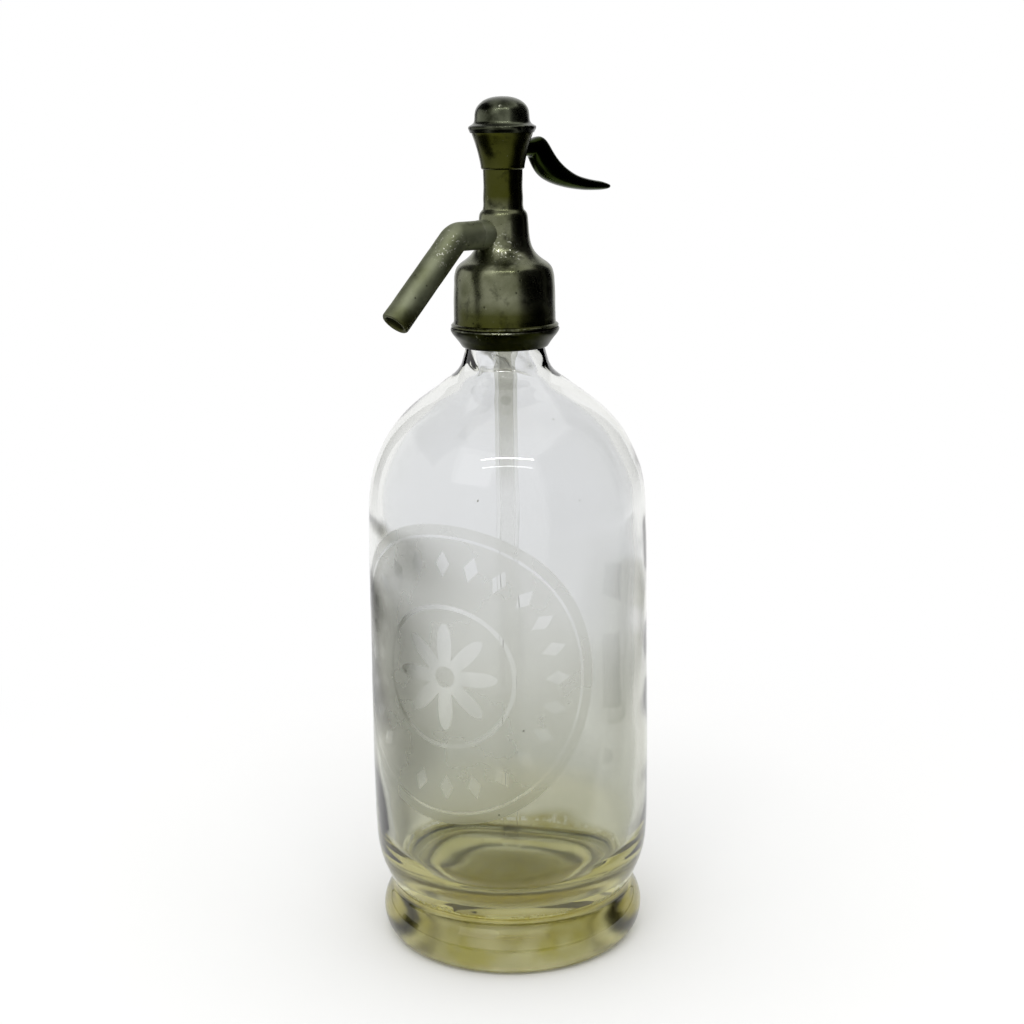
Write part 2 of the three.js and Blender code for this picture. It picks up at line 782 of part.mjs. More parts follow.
// The lever's upper and lower edges in the XZ plane and its half width, from the nose to the tip.
function leverStations() {
  const level = (x, thickness, width) => ({
    upper: new THREE.Vector2(x, pinHeight + thickness / 2),
    lower: new THREE.Vector2(x, pinHeight - thickness / 2),
    width,
  });
  const [endShare, backShare] = noseEndShares;
  const fromSpindle = (share) => spindleRadius + (pinReach - spindleRadius) * share;
  const [noseRoot, neckStart] = thickeningShares.map(fromSpindle);
  const nose = [
    level(-leverNoseReach, leverNoseThickness * endShare, leverNoseWidth * endShare),
    level(-leverNoseReach * backShare, leverNoseThickness * backShare, leverNoseWidth * backShare),
    level(0, leverNoseThickness, leverNoseWidth),
    level(noseRoot, leverNoseThickness, leverNoseWidth),
  ];
  const neck = [
    level(neckStart, leverNeckThickness, leverNeckWidth),
    level(leverShoulderReach, leverNeckThickness, leverNeckWidth),
  ];
  const reach = leverTipReach - leverShoulderReach;
  const place = ([along, down]) =>
    new THREE.Vector2(leverShoulderReach + reach * along, pinHeight - leverTipDrop * down);
  const grip = leverGripShares.map(({ upper, lower, width }) => ({
    upper: place(upper),
    lower: place(lower),
    width: leverGripWidth * width,
  }));
  return { root: [...nose, ...neck], grip };
}

// One rounded section of the lever between its upper and lower edge.
function leverRing({ upper, lower, width }) {
  const squared = (value) => Math.sign(value) * Math.abs(value) ** (2 / leverSquareness);
  return Array.from({ length: leverSides }, (_, i) => {
    const angle = (-2 * Math.PI * i) / leverSides;
    const share = (1 + squared(Math.cos(angle))) / 2;
    const edge = new THREE.Vector2().lerpVectors(lower, upper, share);
    return new THREE.Vector3(edge.x, (width / 2) * squared(Math.sin(angle)), edge.y);
  });
}

// A smooth grip, its edges drawn as curves through the stations, on a straight root with the pin's eye.
function lever() {
  const { root, grip } = leverStations();
  const curved = [root.at(-1), ...grip];
  const upper = new THREE.SplineCurve(curved.map((s) => s.upper));
  const lower = new THREE.SplineCurve(curved.map((s) => s.lower));
  const width = new THREE.SplineCurve(curved.map((s) => new THREE.Vector2(s.width, 0)));
  const smooth = Array.from({ length: leverSteps }, (_, i) => {
    const t = (i + 1) / leverSteps;
    return { upper: upper.getPoint(t), lower: lower.getPoint(t), width: width.getPoint(t).x };
  });
  const eye = bar(pinRadius + pinGap, onPinAxis(-leverNeckWidth), onPinAxis(leverNeckWidth), fineSides);
  return lofted([...root, ...smooth].map(leverRing)).subtract(eye);
}

function leverPin() {
  return bar(pinRadius, onPinAxis(-pinLength / 2), onPinAxis(pinLength / 2), fineSides);
}

// Finishes
const metal = (color, roughness) => new THREE.MeshStandardMaterial({ color, roughness, metalness: 0.9 });
const soft = (color, roughness) => new THREE.MeshStandardMaterial({ color, roughness, metalness: 0 });
const glass = soft(0xdfe4da, 0.05);
glass.transparent = true;
glass.opacity = 0.35;
const pewter = metal(0x4b4d3c, 0.42);
const wornPewter = metal(0x6a6d5c, 0.48);
const darkPewter = metal(0x262c20, 0.38);
const brass = metal(0x8c7640, 0.4);
const steel = metal(0x77777a, 0.35);
const rubber = soft(0x262422, 0.8);
const leather = soft(0x5b4532, 0.75);
const vulcanite = soft(0x1b1a19, 0.35);

const siphon = new THREE.Group();

// Adds a solid to the siphon as a named mesh.
function add(name, solid, material) {
  const { vertProperties, triVerts } = solid.getMesh();
  const geometry = new THREE.BufferGeometry();
  geometry.setAttribute("position", new THREE.BufferAttribute(vertProperties, 3));
  geometry.setIndex(new THREE.BufferAttribute(triVerts, 1));
  geometry.computeVertexNormals();
  const mesh = new THREE.Mesh(geometry, material);
  mesh.name = name;
  siphon.add(mesh);
}

const [foot, wall, shoulder, neck] = bottleLengths();
add("bottle_foot", foot, glass);
add("bottle_wall", wall, glass);
add("bottle_shoulder", shoulder, glass);
add("bottle_neck", neck, glass);
add("dip_tube", dipTube(), glass);
add("collar_half_left", collarHalf(1), pewter);
add("collar_half_right", collarHalf(-1), pewter);
add("neck_washer", neckWasher(), rubber);
add("tube_grommet", tubeGrommet(), rubber);
add("tube_nut", tubeNut(), brass);
add("valve_seat", valveSeat(), vulcanite);
add("head_casting", headCasting(), pewter);
add("spout", spout(), wornPewter);
add("cap", cap(), darkPewter);
add("cap_washer", capWasher(), leather);
add("lever", lever(), darkPewter);
add("lever_pin", leverPin(), steel);
add("piston_spindle", pistonSpindle(), brass);
add("cup_seal", cupSeal(), leather);
add("valve_holder", valveHolder(), brass);
add("valve_washer", valveWasher(), rubber);
add("valve_screw", valveScrew(), brass);
add("return_spring", returnSpring(), steel);

export default siphon;
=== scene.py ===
"""An old glass and pewter soda siphon, dressed for a plain studio photograph.

Every piece is in metres in the part's own frame. The origin is on the ground at the middle of the foot, and
+Z is up. The spout lies towards -X and the lever towards +X. Outlines are in mm, as (radius, height).
"""

import json
import math

import bmesh
import bpy
import numpy as np
from mathutils import Matrix, Vector


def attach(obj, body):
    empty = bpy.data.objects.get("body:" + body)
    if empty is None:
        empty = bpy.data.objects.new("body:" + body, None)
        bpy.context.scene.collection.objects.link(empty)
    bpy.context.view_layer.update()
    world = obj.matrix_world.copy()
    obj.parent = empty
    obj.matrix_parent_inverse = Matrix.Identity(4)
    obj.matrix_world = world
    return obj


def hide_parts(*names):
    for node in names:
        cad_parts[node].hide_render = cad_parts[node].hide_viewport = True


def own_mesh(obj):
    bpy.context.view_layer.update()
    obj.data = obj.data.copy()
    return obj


MM = 0.001

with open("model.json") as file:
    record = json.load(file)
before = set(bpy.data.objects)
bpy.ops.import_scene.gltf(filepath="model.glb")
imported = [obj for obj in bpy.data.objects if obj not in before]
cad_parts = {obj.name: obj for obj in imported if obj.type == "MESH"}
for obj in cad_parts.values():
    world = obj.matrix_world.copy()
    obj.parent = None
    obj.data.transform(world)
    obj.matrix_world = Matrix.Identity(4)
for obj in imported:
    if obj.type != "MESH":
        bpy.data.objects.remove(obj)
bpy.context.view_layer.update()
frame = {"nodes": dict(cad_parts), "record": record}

# Camera, fitted to the photograph: focal length in pixels of the picture, and place in mm before its turn
FOCAL_PIXELS = 1720
PICTURE_PIXELS = 1024
SENSOR_MM = 36
CAMERA_PLACE = Vector((1.7, -622, 307))
CAMERA_TURN = math.radians(-40)
CAMERA_TILT = math.radians(90 - 13)  # 0 looks straight down
CAMERA_ROLL = math.radians(-0.75)


def photo_camera():
    """The camera stands 622 mm out and 307 mm up, looks 13 degrees down, and is rolled a little."""
    data = bpy.data.cameras.new("photo_camera")
    data.sensor_width = SENSOR_MM
    data.lens = FOCAL_PIXELS * SENSOR_MM / PICTURE_PIXELS
    camera = bpy.data.objects.new("photo_camera", data)
    bpy.context.scene.collection.objects.link(camera)
    turn = Matrix.Rotation(CAMERA_TURN, 4, "Z")
    tilt = Matrix.Rotation(CAMERA_TILT, 4, "X")
    roll = Matrix.Rotation(CAMERA_ROLL, 4, "Z")
    camera.matrix_world = Matrix.Translation(turn @ CAMERA_PLACE * MM) @ turn @ tilt @ roll
    bpy.context.scene.camera = camera


photo_camera()


def shade(hex_colour):
    """An sRGB hex colour as linear red, green, blue and alpha."""
    code = hex_colour.lstrip("#")
    parts = [int(code[i : i + 2], 16) / 255 for i in (0, 2, 4)]
    return tuple(c / 12.92 if c <= 0.04045 else ((c + 0.055) / 1.055) ** 2.4 for c in parts) + (1.0,)


def add(tree, kind, inputs=None, stops=(), **settings):
    """Adds a node. An input takes a value, one output, or a node, whose first live output is linked."""
    node = tree.nodes.new("ShaderNode" + kind)
    for key, value in settings.items():
        setattr(node, key, value)
    for place, colour in stops:
        node.color_ramp.elements.new(place).color = shade(colour)
    if stops:
        node.color_ramp.elements.remove(node.color_ramp.elements[-1])
        node.color_ramp.elements.remove(node.color_ramp.elements[0])
    for key, value in (inputs or {}).items():
        if isinstance(value, bpy.types.Node):
            value = next(output for output in value.outputs if output.enabled)
        if isinstance(value, bpy.types.NodeSocket):
            tree.links.new(value, node.inputs[key])
        else:
            node.inputs[key].default_value = value
    return node


def new_material(name):
    """An empty node material and the piece's own coordinates in it, in metres."""
    material = bpy.data.materials.new(name)
    material.use_nodes = True
    tree = material.node_tree
    tree.nodes.clear()
    return material, tree, add(tree, "TexCoord").outputs["Object"]


# Materials

# The etched panel, in mm: a disc on the wall, whose middle lies PANEL_TURN round from -X towards -Y
PANEL_TURN = math.radians(24)
PANEL_HEIGHT = 115
WALL_RADIUS = 52
OUTSIDE_FROM = 49.6  # beyond this radius a surface is the outer one
PANEL_EDGE = (55.1, 54.6)  # bare glass beyond the first radius, full frost within the second
PANEL_HOOPS = ((50.6, 0.5), (25.5, 0.8))  # radius and half width of the two clear hoops
LOZENGES = 24
LOZENGE_CIRCLE = 41
LOZENGE_HALF = (2.6, 4.6)  # half width and half height
PETALS = 8
PETAL_FOOT = 6.5
PETAL_LENGTH = 13
EYE_EDGE = (3.6, 4.1)


def etched_panel(tree, place, x, y, z, radius):
    """Frost of the etched panel, 0 to 1: a disc with hoops, a ring of lozenges and a rosette left clear.

    Its two coordinates start at the panel's middle: the arc, which is radius times angle, and the height.
    """
    back = add(tree, "Math", {0: y, 1: -1}, operation="MULTIPLY")
    left = add(tree, "Math", {0: x, 1: -1}, operation="MULTIPLY")
    angle = add(tree, "Math", {0: back, 1: left}, operation="ARCTAN2")
    angle = add(tree, "Math", {0: angle, 1: PANEL_TURN}, operation="SUBTRACT")
    across = add(tree, "Math", {0: angle, 1: WALL_RADIUS * MM}, operation="MULTIPLY")
    rise = add(tree, "Math", {0: z, 1: PANEL_HEIGHT * MM}, operation="SUBTRACT")
    on_wall = add(tree, "CombineXYZ", {0: across, 1: rise})
    reach = add(tree, "VectorMath", {0: on_wall}, operation="LENGTH").outputs["Value"]
    bearing = add(tree, "Math", {0: rise, 1: across}, operation="ARCTAN2")
    outside = add(tree, "Math", {0: radius, 1: OUTSIDE_FROM * MM}, operation="GREATER_THAN")
    disc = add(tree, "MapRange", {0: reach, "From Min": PANEL_EDGE[0] * MM, "From Max": PANEL_EDGE[1] * MM})
    disc = add(tree, "Math", {0: disc, 1: outside}, operation="MULTIPLY")

    clear = []
    for hoop, half in PANEL_HOOPS:
        clear.append(add(tree, "Math", {0: reach, 1: hoop * MM, 2: half * MM}, operation="COMPARE"))

    # A lozenge is where its share of the half width and its share of the half height add up to less than 1
    turn = add(tree, "Math", {0: bearing, 1: LOZENGES / (2 * math.pi)}, operation="MULTIPLY")
    turn = add(tree, "Math", {0: turn, 1: 0.5}, operation="PINGPONG")
    spacing = 2 * math.pi * LOZENGE_CIRCLE / LOZENGES
    wide = add(tree, "Math", {0: turn, 1: spacing / LOZENGE_HALF[0]}, operation="MULTIPLY")
    tall = add(tree, "Math", {0: reach, 1: LOZENGE_CIRCLE * MM}, operation="SUBTRACT")
    tall = add(tree, "Math", {0: tall}, operation="ABSOLUTE")
    tall = add(tree, "Math", {0: tall, 1: 1 / (LOZENGE_HALF[1] * MM)}, operation="MULTIPLY")
    total = add(tree, "Math", {0: wide, 1: tall}, operation="ADD")
    clear.append(add(tree, "MapRange", {0: total, "From Min": 1.05, "From Max": 0.95}))

    # The rosette's edge swells as the cosine of half the petals times the bearing, to the power 1.6
    petal = add(tree, "Math", {0: bearing, 1: PETALS / 2}, operation="MULTIPLY")
    petal = add(tree, "Math", {0: petal}, operation="COSINE")
    petal = add(tree, "Math", {0: petal}, operation="ABSOLUTE")
    petal = add(tree, "Math", {0: petal, 1: 1.6}, operation="POWER")
    edge = {0: petal, 1: PETAL_LENGTH * MM, 2: PETAL_FOOT * MM}
    petal = add(tree, "Math", edge, operation="MULTIPLY_ADD")
    within = add(tree, "Math", {0: petal, 1: reach}, operation="SUBTRACT")
    within = add(tree, "MapRange", {0: within, "From Min": -0.2 * MM, "From Max": 0.3 * MM})
    eye = add(tree, "MapRange", {0: reach, "From Min": EYE_EDGE[0] * MM, "From Max": EYE_EDGE[1] * MM})
    clear.append(add(tree, "Math", {0: within, 1: eye}, operation="MULTIPLY"))

    bare = clear[0]
    for form in clear[1:]:
        bare = add(tree, "Math", {0: bare, 1: form}, operation="MAXIMUM")

    # The frost is worn thinner in patches 26 mm across
    worn = add(tree, "TexNoise", {"Vector": place, "Scale": 38.0, "Detail": 4.0})
    worn = add(tree, "MapRange", {0: worn, "From Min": 0.35, "From Max": 0.62, "To Min": 0.75, "To Max": 1})
    frost = add(tree, "Math", {0: 1.0, 1: bare}, operation="SUBTRACT")
    frost = add(tree, "Math", {0: disc, 1: frost}, operation="MULTIPLY")
    return add(tree, "Math", {0: frost, 1: worn}, operation="MULTIPLY")


# Places on the bottle where its finish changes, in mm
LIME_EDGE = (26, 23.5)  # no lime above the first height, full lime below the second
HOLLOW_RADIUS = 38.6
CAVITY_RADIUS = 44.5
CLOUD_EDGE = (40, 30)  # likewise, for the clouded floor inside
HEEL_LIP = (23.3, 0.8)  # height of the chipped lip and half of the band that it takes
HEEL_LIP_RADIUS = 46.4


def flint_glass():
    """Thick moulded flint glass: clear and grey above, olive with lime and deeper in colour near the foot.

    To the eye it is old and used: the foot is stained yellow, seeds sit in the wall, the heel's lip is
    chipped white, and the etched panel scatters what shows through it, as acid-etched glass does.
    """
    material, tree, place = new_material("moulded_flint_glass")
    x, y, z = add(tree, "SeparateXYZ", {0: place}).outputs
    flat = add(tree, "VectorMath", {0: place, 1: (1, 1, 0)}, operation="MULTIPLY")
    radius = add(tree, "VectorMath", {0: flat}, operation="LENGTH").outputs["Value"]

    # Tint: the colour of one pass through a wall, darker towards the bottom, from the ground to 0.25 m,
    # drifting 10 mm up and down
    drift = add(tree, "TexNoise", {"Vector": place, "Scale": 22.0, "Detail": 3.0})
    level = add(tree, "Math", {0: drift, 1: 0.02, 2: -0.01}, operation="MULTIPLY_ADD")
    level = add(tree, "Math", {0: z, 1: level}, operation="ADD")
    level = add(tree, "MapRange", {0: level, "From Min": 0, "From Max": 0.25})
    wall_tint = add(
        tree,
        "ValToRGB",
        {0: level},
        stops=[
            (0.08, "#dcdcc6"),
            (0.13, "#e4e3cf"),
            (0.2, "#dddfd8"),
            (0.32, "#e5e6e2"),
            (0.5, "#ebecee"),
            (0.7, "#eeeff2"),
            (0.86, "#f2f3f7"),
        ],
    )

    # Lime on the foot, in patches 15 mm across: olive on its outside, and yellow in the hollow under it
    crust = add(tree, "TexNoise", {"Vector": place, "Scale": 70.0, "Detail": 4.0})
    crust = add(tree, "MapRange", {0: crust, "From Min": 0.35, "From Max": 0.65})
    yellow = add(tree, "Mix", {0: crust, 6: shade("#e6d640"), 7: shade("#eee49a")}, data_type="RGBA")
    olive = add(tree, "Mix", {0: crust, 6: shade("#8a8028"), 7: shade("#bdb680")}, data_type="RGBA")
    under = add(tree, "Math", {0: radius, 1: HOLLOW_RADIUS * MM}, operation="LESS_THAN")
    lime = add(tree, "Mix", {0: under, 6: olive, 7: yellow}, data_type="RGBA")
    low = add(tree, "MapRange", {0: z, "From Min": LIME_EDGE[0] * MM, "From Max": LIME_EDGE[1] * MM})
    wall_tint = add(tree, "Mix", {0: low, 6: wall_tint, 7: lime}, data_type="RGBA")

    # The floor inside and the hollow are clouded, so that what shows through them is soft
    cavity = add(tree, "Math", {0: radius, 1: CAVITY_RADIUS * MM}, operation="LESS_THAN")
    floor = add(tree, "MapRange", {0: z, "From Min": CLOUD_EDGE[0] * MM, "From Max": CLOUD_EDGE[1] * MM})
    clouded = add(tree, "Math", {0: cavity, 1: floor}, operation="MULTIPLY")

    # Seeds and specks up to 0.7 mm across, in about a quarter of cells 12 mm wide
    cells = add(tree, "TexVoronoi", {"Vector": place, "Scale": 85.0})
    chance = add(tree, "SeparateColor", {0: cells.outputs["Color"]})
    picked = add(tree, "Math", {0: chance, 1: 0.72}, operation="GREATER_THAN")
    speck = add(tree, "MapRange", {0: cells.outputs["Distance"], "From Min": 0.04, "From Max": 0.022})
    speck = add(tree, "Math", {0: speck, 1: picked}, operation="MULTIPLY")
    wall_tint = add(tree, "Mix", {0: speck, 6: wall_tint, 7: shade("#4b4a3a")}, data_type="RGBA")

    # Chipped lip of the heel, a band 1.6 mm tall and white where it is ground
    lip = add(tree, "Math", {0: z, 1: HEEL_LIP[0] * MM, 2: HEEL_LIP[1] * MM}, operation="COMPARE")
    rim = add(tree, "Math", {0: radius, 1: HEEL_LIP_RADIUS * MM}, operation="GREATER_THAN")
    grit = add(tree, "TexNoise", {"Vector": place, "Scale": 60.0, "Detail": 9.0, "Roughness": 0.7})
    grit = add(tree, "MapRange", {0: grit, "From Min": 0.47, "From Max": 0.54})
    chip = add(tree, "Math", {0: lip, 1: rim}, operation="MULTIPLY")
    chip = add(tree, "Math", {0: chip, 1: grit}, operation="MULTIPLY")

    frost = etched_panel(tree, place, x, y, z, radius)
    greyed = {0: frost, 6: wall_tint, 7: shade("#e9e9e3")}
    etched = add(tree, "Mix", greyed, data_type="RGBA", blend_type="MULTIPLY")
    colour = add(tree, "Mix", {0: chip, 6: etched, 7: shade("#dcdccb")}, data_type="RGBA")
    rough = add(tree, "Math", {0: clouded, 1: 0.22}, operation="MULTIPLY")
    rough = add(tree, "Math", {0: chip, 1: 0.45, 2: rough}, operation="MULTIPLY_ADD")
    rough = add(tree, "Math", {0: frost, 1: 0.3, 2: rough}, operation="MULTIPLY_ADD")

    # Ripples 20 mm across in the surface
    ripple = add(tree, "TexNoise", {"Vector": place, "Scale": 45.0, "Detail": 1.0})
    bump = add(tree, "Bump", {"Height": ripple, "Strength": 0.08, "Distance": 2 * MM})
    glass = add(
        tree,
        "BsdfPrincipled",
        {"Base Color": colour, "Roughness": rough, "Normal": bump, "IOR": 1.52, "Transmission Weight": 1.0},
    )
    depth = add(tree, "VolumeAbsorption", {"Color": shade("#e7e57c"), "Density": 6.5})
    add(tree, "OutputMaterial", {"Surface": glass, "Volume": depth})
    return material


def tube_glass():
    """Drawn glass tube, darker towards the top: hardly seen in the body, greyed in the neck, and olive at the
    top.

    Its IOR is far under real glass's, because the photographed tube hardly bends what lies behind it.
    """
    material, tree, place = new_material("drawn_glass_tube")
    height = add(tree, "SeparateXYZ", {0: place}).outputs["Z"]
    cloud = add(tree, "TexNoise", {"Vector": place, "Scale": 60.0, "Detail": 3.0})
    height = add(tree, "Math", {0: cloud, 1: 0.02, 2: height}, operation="MULTIPLY_ADD")
    height = add(tree, "MapRange", {0: height, "From Min": 0.15, "From Max": 0.25})
    tint = add(
        tree,
        "ValToRGB",
        {0: height},
        stops=[(0.3, "#fdfdfc"), (0.65, "#e2e2dc"), (0.82, "#d2d2c9"), (0.95, "#b3b486")],
    )
    glass = add(
        tree,
        "BsdfPrincipled",
        {"Base Color": tint, "Roughness": 0.1, "IOR": 1.05, "Transmission Weight": 1.0},
    )
    add(tree, "OutputMaterial", {"Surface": glass})
    return material


def pewter(
    name,
    dark,
    light,
    rough,
    tarnish_and_shade="#363807",
    above=1.0,
    below=0.241,
    worn=0.5,
    stained=0.8,
    chafed=(0, 0, -1),
):
    """Cast pewter gone dark: clouds 12 mm across, fine turning lines, pits, and upturned rim edges made
    bright, partly worn by use and partly a painted highlight.

    Above one height and below another, both in metres, it is darker: tarnishing, and on the cap under its
    brim painted shade. It is flecked with bright metal round the chafed place. To the eye it is a heavy old
    casting, satin, bright where it is touched, with a painted highlight on its upturned rim edges.
    """
    material, tree, place = new_material(name)
    cloud = add(tree, "TexNoise", {"Vector": place, "Scale": 80.0, "Detail": 5.0, "Roughness": 0.55})
    fine = add(tree, "TexNoise", {"Vector": place, "Scale": 1100.0, "Detail": 3.0})
    patch = add(tree, "MapRange", {0: cloud, "From Min": 0.34, "From Max": 0.66})
    colour = add(tree, "Mix", {0: patch, 6: shade(dark), 7: shade(light)}, data_type="RGBA")

    height = add(tree, "SeparateXYZ", {0: place}).outputs["Z"]
    top = {0: height, "From Min": above, "From Max": above + 8 * MM, "To Max": 0.93}
    foot = {0: height, "From Min": below + 3 * MM, "From Max": below - 3 * MM, "To Max": 0.85}
    top, foot = add(tree, "MapRange", top), add(tree, "MapRange", foot)
    tarnished_and_shaded = add(tree, "Math", {0: top, 1: foot}, operation="MAXIMUM")
    colour = add(tree, "Mix", {0: tarnished_and_shaded, 6: colour, 7: shade(tarnish_and_shade)}, data_type="RGBA")

    # Near-black stains 3 to 6 mm across
    stain = add(tree, "TexNoise", {"Vector": place, "Scale": 150.0, "Detail": 6.0, "Roughness": 0.6})
    stain = add(tree, "MapRange", {0: stain, "From Min": 0.54, "From Max": 0.7, "To Max": stained})
    colour = add(tree, "Mix", {0: stain, 6: colour, 7: shade("#14150a")}, data_type="RGBA")

    # Pits up to 0.7 mm across, dark inside
    cells = add(tree, "TexVoronoi", {"Vector": place, "Scale": 620.0})
    chance = add(tree, "SeparateColor", {0: cells.outputs["Color"]})
    chosen = add(tree, "Math", {0: chance, 1: 0.93}, operation="GREATER_THAN")
    middle = cells.outputs["Distance"]
    pit = add(tree, "MapRange", {0: middle, "From Min": 0.32, "From Max": 0.12, "To Max": 0.7})
    pit = add(tree, "Math", {0: pit, 1: chosen}, operation="MULTIPLY")
    colour = add(tree, "Mix", {0: pit, 6: colour, 7: shade("#0d0e08")}, data_type="RGBA")

    # Rim edges bright where they face up, partly worn metal and partly a painted highlight where light from
    # above falls, and short scratches along the casting
    form = add(tree, "NewGeometry").outputs
    rim_wear_and_highlight = add(tree, "MapRange", {0: form["Pointiness"], "From Min": 0.53, "From Max": 0.6})
    upward = add(tree, "SeparateXYZ", {0: form["Normal"]}).outputs["Z"]
    upward = add(tree, "MapRange", {0: upward, "From Min": -0.2, "From Max": 0.4})
    rim_wear_and_highlight = add(tree, "Math", {0: rim_wear_and_highlight, 1: upward}, operation="MULTIPLY")
    broken = add(tree, "MapRange", {0: fine, "From Min": 0.38, "From Max": 0.6})
    rim_wear_and_highlight = add(tree, "Math", {0: rim_wear_and_highlight, 1: broken}, operation="MULTIPLY")
    along = {"Vector": place, "Rotation": (0.5, 0.3, 0.2), "Scale": (120.0, 1000.0, 700.0)}
    scratch = add(tree, "TexNoise", {"Vector": add(tree, "Mapping", along), "Scale": 1.0, "Detail": 2.0})
    scratch = add(tree, "MapRange", {0: scratch, "From Min": 0.72, "From Max": 0.8, "To Max": worn})
    wear_and_highlight = add(tree, "Math", {0: rim_wear_and_highlight, 1: scratch}, operation="MAXIMUM")
    colour = add(tree, "Mix", {0: wear_and_highlight, 6: colour, 7: shade("#a3a593")}, data_type="RGBA")

    # Bright flecks 0.5 mm across, within 9 mm of the chafed place
    near = add(tree, "VectorMath", {0: place, 1: chafed}, operation="DISTANCE").outputs["Value"]
    near = add(tree, "MapRange", {0: near, "From Min": 9 * MM, "From Max": 3 * MM})
    fleck = add(tree, "MapRange", {0: fine, "From Min": 0.6, "From Max": 0.66})
    fleck = add(tree, "Math", {0: fleck, 1: near}, operation="MULTIPLY")
    colour = add(tree, "Mix", {0: fleck, 6: colour, 7: shade("#dcdccf")}, data_type="RGBA")

    # Turning lines 0.4 mm apart
    lines = add(tree, "Mapping", {"Vector": place, "Scale": (30.0, 30.0, 2500.0)})
    lines = add(tree, "TexNoise", {"Vector": lines, "Scale": 1.0, "Detail": 1.0})
    relief = add(tree, "Math", {0: lines, 1: 0.06, 2: cloud}, operation="MULTIPLY_ADD")
    relief = add(tree, "Math", {0: pit, 1: -0.3, 2: relief}, operation="MULTIPLY_ADD")
    relief = add(tree, "Math", {0: fine, 1: 0.05, 2: relief}, operation="MULTIPLY_ADD")
    bump = add(tree, "Bump", {"Height": relief, "Strength": 0.22, "Distance": 0.5 * MM})
    gloss = add(tree, "Math", {0: cloud, 1: 0.3, 2: rough - 0.15}, operation="MULTIPLY_ADD")
    gloss = add(tree, "Math", {0: pit, 1: 0.2, 2: gloss}, operation="MULTIPLY_ADD")
    surface = {"Base Color": colour, "Roughness": gloss, "Normal": bump, "Metallic": 1.0}
    add(tree, "OutputMaterial", {"Surface": add(tree, "BsdfPrincipled", surface)})
    return material


def working_part(name, dark, light, rough, metallic, grain):
    """A working part inside: two near tones, mottled at the material's own grain in mm, look used."""
    material, tree, place = new_material(name)
    mottle = add(tree, "TexNoise", {"Vector": place, "Scale": 1000 / grain, "Detail": 4.0})
    colour = add(tree, "Mix", {0: mottle, 6: shade(dark), 7: shade(light)}, data_type="RGBA")
    bump = add(tree, "Bump", {"Height": mottle, "Strength": 0.2, "Distance": 0.2 * MM})
    gloss = add(tree, "Math", {0: mottle, 1: 0.2, 2: rough - 0.1}, operation="MULTIPLY_ADD")
    surface = {"Base Color": colour, "Roughness": gloss, "Normal": bump, "Metallic": metallic}
    add(tree, "OutputMaterial", {"Surface": add(tree, "BsdfPrincipled", surface)})
    return material


FINISHES = {
    "glass": flint_glass(),
    "tube_glass": tube_glass(),
    "head_pewter": pewter(
        "tarnished_cast_pewter", "#464930", "#7c7e68", 0.26, above=0.271, chafed=(-0.004, -0.0055, 0.2585)
    ),
    "collar_pewter": pewter(
        "blackened_cast_pewter", "#15170a", "#3e431b", 0.32, tarnish_and_shade="#202304", worn=0.9
    ),
    "spout_pewter": pewter(
        "worn_drawn_pewter",
        "#6b6f54",
        "#8e927a",
        0.58,
        worn=0.8,
        stained=0.3,
        chafed=(-0.0275, -0.003, 0.2615),
    ),
    # The cap is near black below its brim's edge: painted shade under the brim
    "cap_pewter": pewter(
        "scratched_cast_pewter", "#191b10", "#686c5a", 0.25, tarnish_and_shade="#0b0c05", below=0.3028, worn=0.9
    ),
    "lever_pewter": pewter("blackened_forged_pewter", "#141c08", "#323e16", 0.24, worn=0.2),
    "brass": working_part("turned_brass", "#7d6a3a", "#96814a", 0.35, 1.0, 1.5),
    "steel": working_part("drawn_steel_wire", "#6c6c6e", "#88888a", 0.3, 1.0, 0.6),
    "rubber": working_part("moulded_rubber", "#1f1d1b", "#2e2b28", 0.8, 0.0, 0.8),
    "leather": working_part("pressed_leather", "#463222", "#684d37", 0.75, 0.0, 0.5),
    "vulcanite": working_part("turned_vulcanite", "#151413", "#242220", 0.35, 0.0, 1.0),
}

for part in frame["record"]["subparts"]:
    finishes = frame["nodes"][part["node"]].data.materials
    finishes.clear()
    finishes.append(FINISHES[part["material_slot"]])


# Surfaces


def through(knots, step):
    """A smooth line through knots, a point every step: Hermite cubics from the knots' places and slopes.

    The parameter is the distance along the knots: s at the knots, and t at the new points, each of which
    lies a share u of the length h between two knots. The slope at a knot comes from its neighbours.
    """
    p = np.asarray(knots, float)
    s = np.r_[0, np.cumsum(np.linalg.norm(np.diff(p, axis=0), axis=1))]
    slope = np.gradient(p, s, axis=0)
    t = np.linspace(0, s[-1], max(2, math.ceil(s[-1] / step)) + 1)
    i = np.clip(np.searchsorted(s, t, side="right") - 1, 0, len(s) - 2)
    h = (s[i + 1] - s[i])[:, None]
    u = (t - s[i])[:, None] / h
    return (
        (2 * u**3 - 3 * u**2 + 1) * p[i]
        + (u**3 - 2 * u**2 + u) * h * slope[i]
        + (3 * u**2 - 2 * u**3) * p[i + 1]
        + (u**3 - u**2) * h * slope[i + 1]
    )


def outline(*runs, step=1.0):
    """Smooth runs of knots joined end to end, with a corner wherever one run ends and the next begins."""
    drawn = [through(run, step) for run in runs]
    return np.vstack([drawn[0]] + [line[1:] for line in drawn[1:]])


def grid_faces(along, around, closed=False):
    """Four corners of every cell of a grid whose rows close on themselves, kept as [row, cell, corner]."""
    rows = along if closed else along - 1
    i, j = np.meshgrid(np.arange(rows), np.arange(around), indexing="ij")
    below, above, right = i * around, (i + 1) % along * around, (j + 1) % around
    return np.stack([below + j, below + right, above + right, above + j], axis=-1)


SAME_PLACE = 1e-7
SHARP_FROM = math.radians(38)


